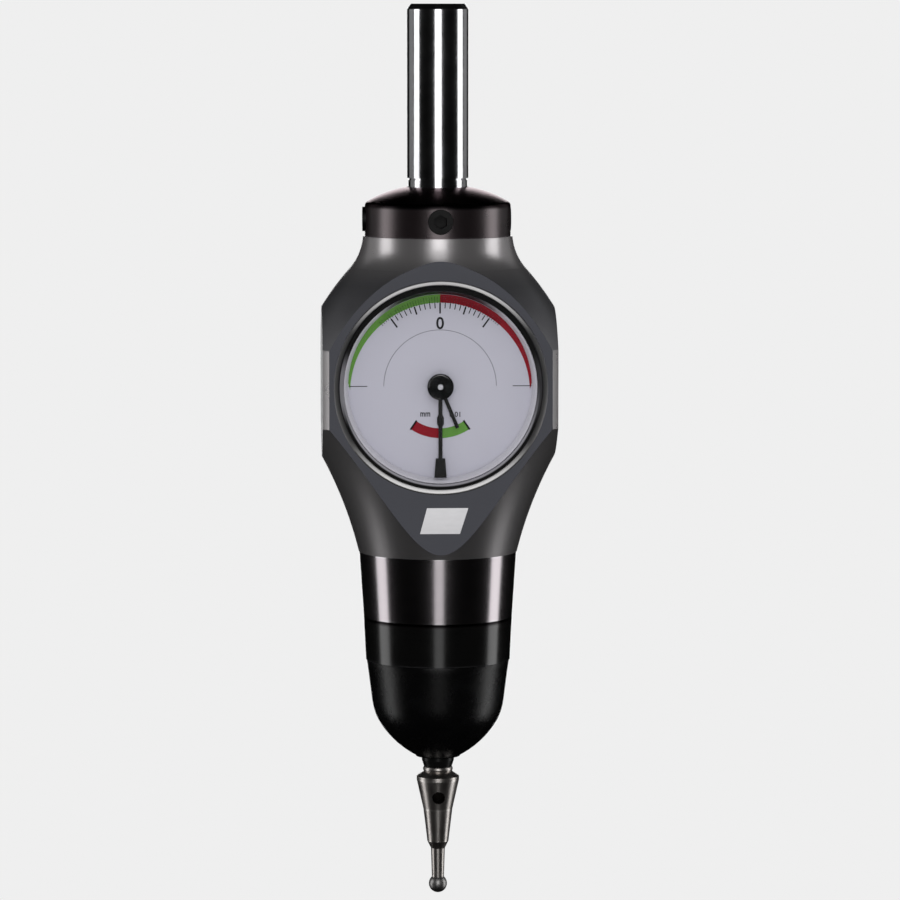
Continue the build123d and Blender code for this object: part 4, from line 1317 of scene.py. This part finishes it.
@dataclass
class Studio:
    """Camera, lamps, world, floor and the dark cards that metal reflects. Lengths are in metres here."""

    lens: float = 176.8
    camera: Point = (-0.0295, -0.7204, 0.02735)
    target: Point = (0.002, -0.0001, -0.0446)
    pale: float = 0.863
    ambient: float = 0.6
    floor_level: float = -0.85
    floor_radius: float = 8.0
    floor_white: float = 0.8
    floor_share: float = 0.25
    floor_fade_mm: Pair = (350.0, 900.0)
    floor_grain: Noise = (0.02, 2.0, 0.5)
    drum_radius: float = 1.25
    drum_height: float = 2.2
    drum_middle: float = 0.25
    card_radius: float = 1.2
    card_lift: float = 0.1
    card_glow: float = 0.003
    ring_glow: float = 0.12
    ring_inner_mm: Pair = (250.0, 400.0)
    ring_outer_mm: Pair = (500.0, 750.0)
    ring_below_mm: float = -700.0
    reach: float = 1.0
    lamps: tuple[Lamp, ...] = (
        Lamp("front_floor", -0.5, 0.12, -0.72, -0.54, 1.4),
        Lamp("front_low", -0.5, 0.25, -0.42, -0.17, 1.6),
        Lamp("front_beside", -7.0, 0.2, -0.17, -0.07, 2.8),
        Lamp("front_beyond", 9.5, 0.12, -0.17, -0.07, 2.8),
        Lamp("front", -0.5, 0.4, -0.07, 0.5, 3.25),
        Lamp("front_high", -0.5, 0.5, 0.5, 1.1, 1.6),
        Lamp("left_low", -95.5, 0.37, -0.72, -0.05, 2.2),
        Lamp("left", -88.5, 0.43, -0.05, 0.5, 2.45),
        Lamp("left_edge", -122.0, 0.5, -0.05, 0.5, 0.25),
        Lamp("right_low", 95.0, 0.38, -0.72, -0.05, 2.4),
        Lamp("right", 91.5, 0.45, -0.05, 0.5, 2.5),
        Lamp("right_edge", 125.0, 0.5, -0.05, 0.5, 0.25),
        Lamp("back", 178.0, 0.35, -0.35, 0.4, 2.2),
    )

    def build(self) -> None:
        """Set up everything that isn't the object."""
        bpy.context.scene.view_settings.view_transform = "Standard"
        self.set_camera()
        self.set_world()
        self.set_floor()
        self.set_cards()
        for lamp in self.lamps:
            lamp.build(self.reach)

    def set_camera(self) -> None:
        """Camera at the photograph's place."""
        data = bpy.data.cameras.new("camera")
        data.lens, data.sensor_width = self.lens, 36.0
        data.clip_start, data.clip_end = 0.01, 50.0
        camera = new_object("camera", data)
        camera.location = self.camera
        aim = Vector(self.target) - Vector(self.camera)
        camera.rotation_euler = aim.to_track_quat("-Z", "Y").to_euler()
        bpy.context.scene.camera = camera

    def set_world(self) -> None:
        """Pale surroundings for camera, gloss and glass, and a plain level of soft light for the rest."""
        world = bpy.data.worlds.new("studio")
        bpy.context.scene.world = world
        world.use_nodes = True
        graph = Graph(world.node_tree)
        level = graph.in_sight() * (self.pale - self.ambient) + self.ambient
        back = graph.node("ShaderNodeBackground", {}, {"Color": WHITE, "Strength": level})
        graph.show(back, "ShaderNodeOutputWorld")

    def disc(
        self, name: str, corners: int, radius: float, level: float, material: bpy.types.Material
    ) -> Piece:
        """Level disc about the tool's axis.

        Args:
            name: Its name.
            corners: Corners of its rim.
            radius: Its radius.
            level: Its height.
            material: Its material.

        Returns:
            The disc.
        """
        circle = bpy.ops.mesh.primitive_circle_add
        disc = Bench.add(circle, vertices=corners, radius=radius, fill_type="NGON", location=(0.0, 0.0, level))
        disc.name = name
        disc.data.materials.append(material)
        return disc

    def set_floor(self) -> None:
        """Pale floor that keeps a soft shadow below the tool and is even further out."""
        material, graph = new_material("pale_floor")
        x, y, _, _ = graph.place()
        near = 1.0 - x.slant(y).rise(*self.floor_fade_mm)
        glow = self.pale + (graph.noise(graph.vector(x, y, 0.0), self.floor_grain) - 0.5) * 0.004
        lit = graph.node("ShaderNodeBsdfDiffuse", {}, {"Color": (*[self.floor_white] * 3, 1.0)})
        even = graph.node("ShaderNodeEmission", {}, {"Strength": glow})
        mix = {0: near * self.floor_share, 1: even.outputs[0], 2: lit.outputs[0]}
        mixed = graph.node("ShaderNodeMixShader", {}, mix)
        plain = graph.node("ShaderNodeBsdfDiffuse", {}, {"Color": (*[self.ambient] * 3, 1.0)})
        mix = {0: graph.in_sight(), 1: plain.outputs[0], 2: mixed.outputs[0]}
        graph.show(graph.node("ShaderNodeMixShader", {}, mix))
        floor = self.disc("floor", 96, self.floor_radius, self.floor_level, material)

    def set_cards(self) -> None:
        """Drum round the object and a card below: gloss sees them dark, and the rest gets soft light from them."""
        cylinder = bpy.ops.mesh.primitive_cylinder_add
        middle = (0.0, 0.0, self.drum_middle)
        cards = Bench.add(cylinder, vertices=64, radius=self.drum_radius, depth=self.drum_height, location=middle)
        cards.name = "dark_cards"
        Bench.cut(cards, lambda centre: centre.z < -0.45 * self.drum_height)
        material, graph = new_material("dark_card")
        material.cycles.emission_sampling = "NONE"
        x, y, z, _ = graph.place()
        away = x.slant(y)
        ring = away.rise(*self.ring_inner_mm) * (1.0 - away.rise(*self.ring_outer_mm)) * (z < self.ring_below_mm)
        soft = graph.rays("Diffuse") * self.ambient + ring * self.ring_glow + self.card_glow
        graph.show(graph.node("ShaderNodeEmission", {}, {"Color": WHITE, "Strength": soft}))
        cards.data.materials.append(material)
        cards.visible_camera = cards.visible_transmission = False
        below = self.disc("dark_card_below", 64, self.card_radius, self.floor_level + self.card_lift, material)
        below.visible_camera = below.visible_transmission = below.visible_diffuse = below.visible_shadow = False


def main() -> None:
    """Build the studio and the object's sub-assemblies in order."""
    logging.basicConfig(level=logging.INFO, format="%(name)s: %(message)s")
    for part in (Studio(), Shank(), Housing(), Dial(), Pointers(), LowerEnd(), Probe(), Movement()):
        LOG.info("building %s", type(part).__name__)
        part.build()
    Bench.clear()


if __name__ == "__main__":
    main()
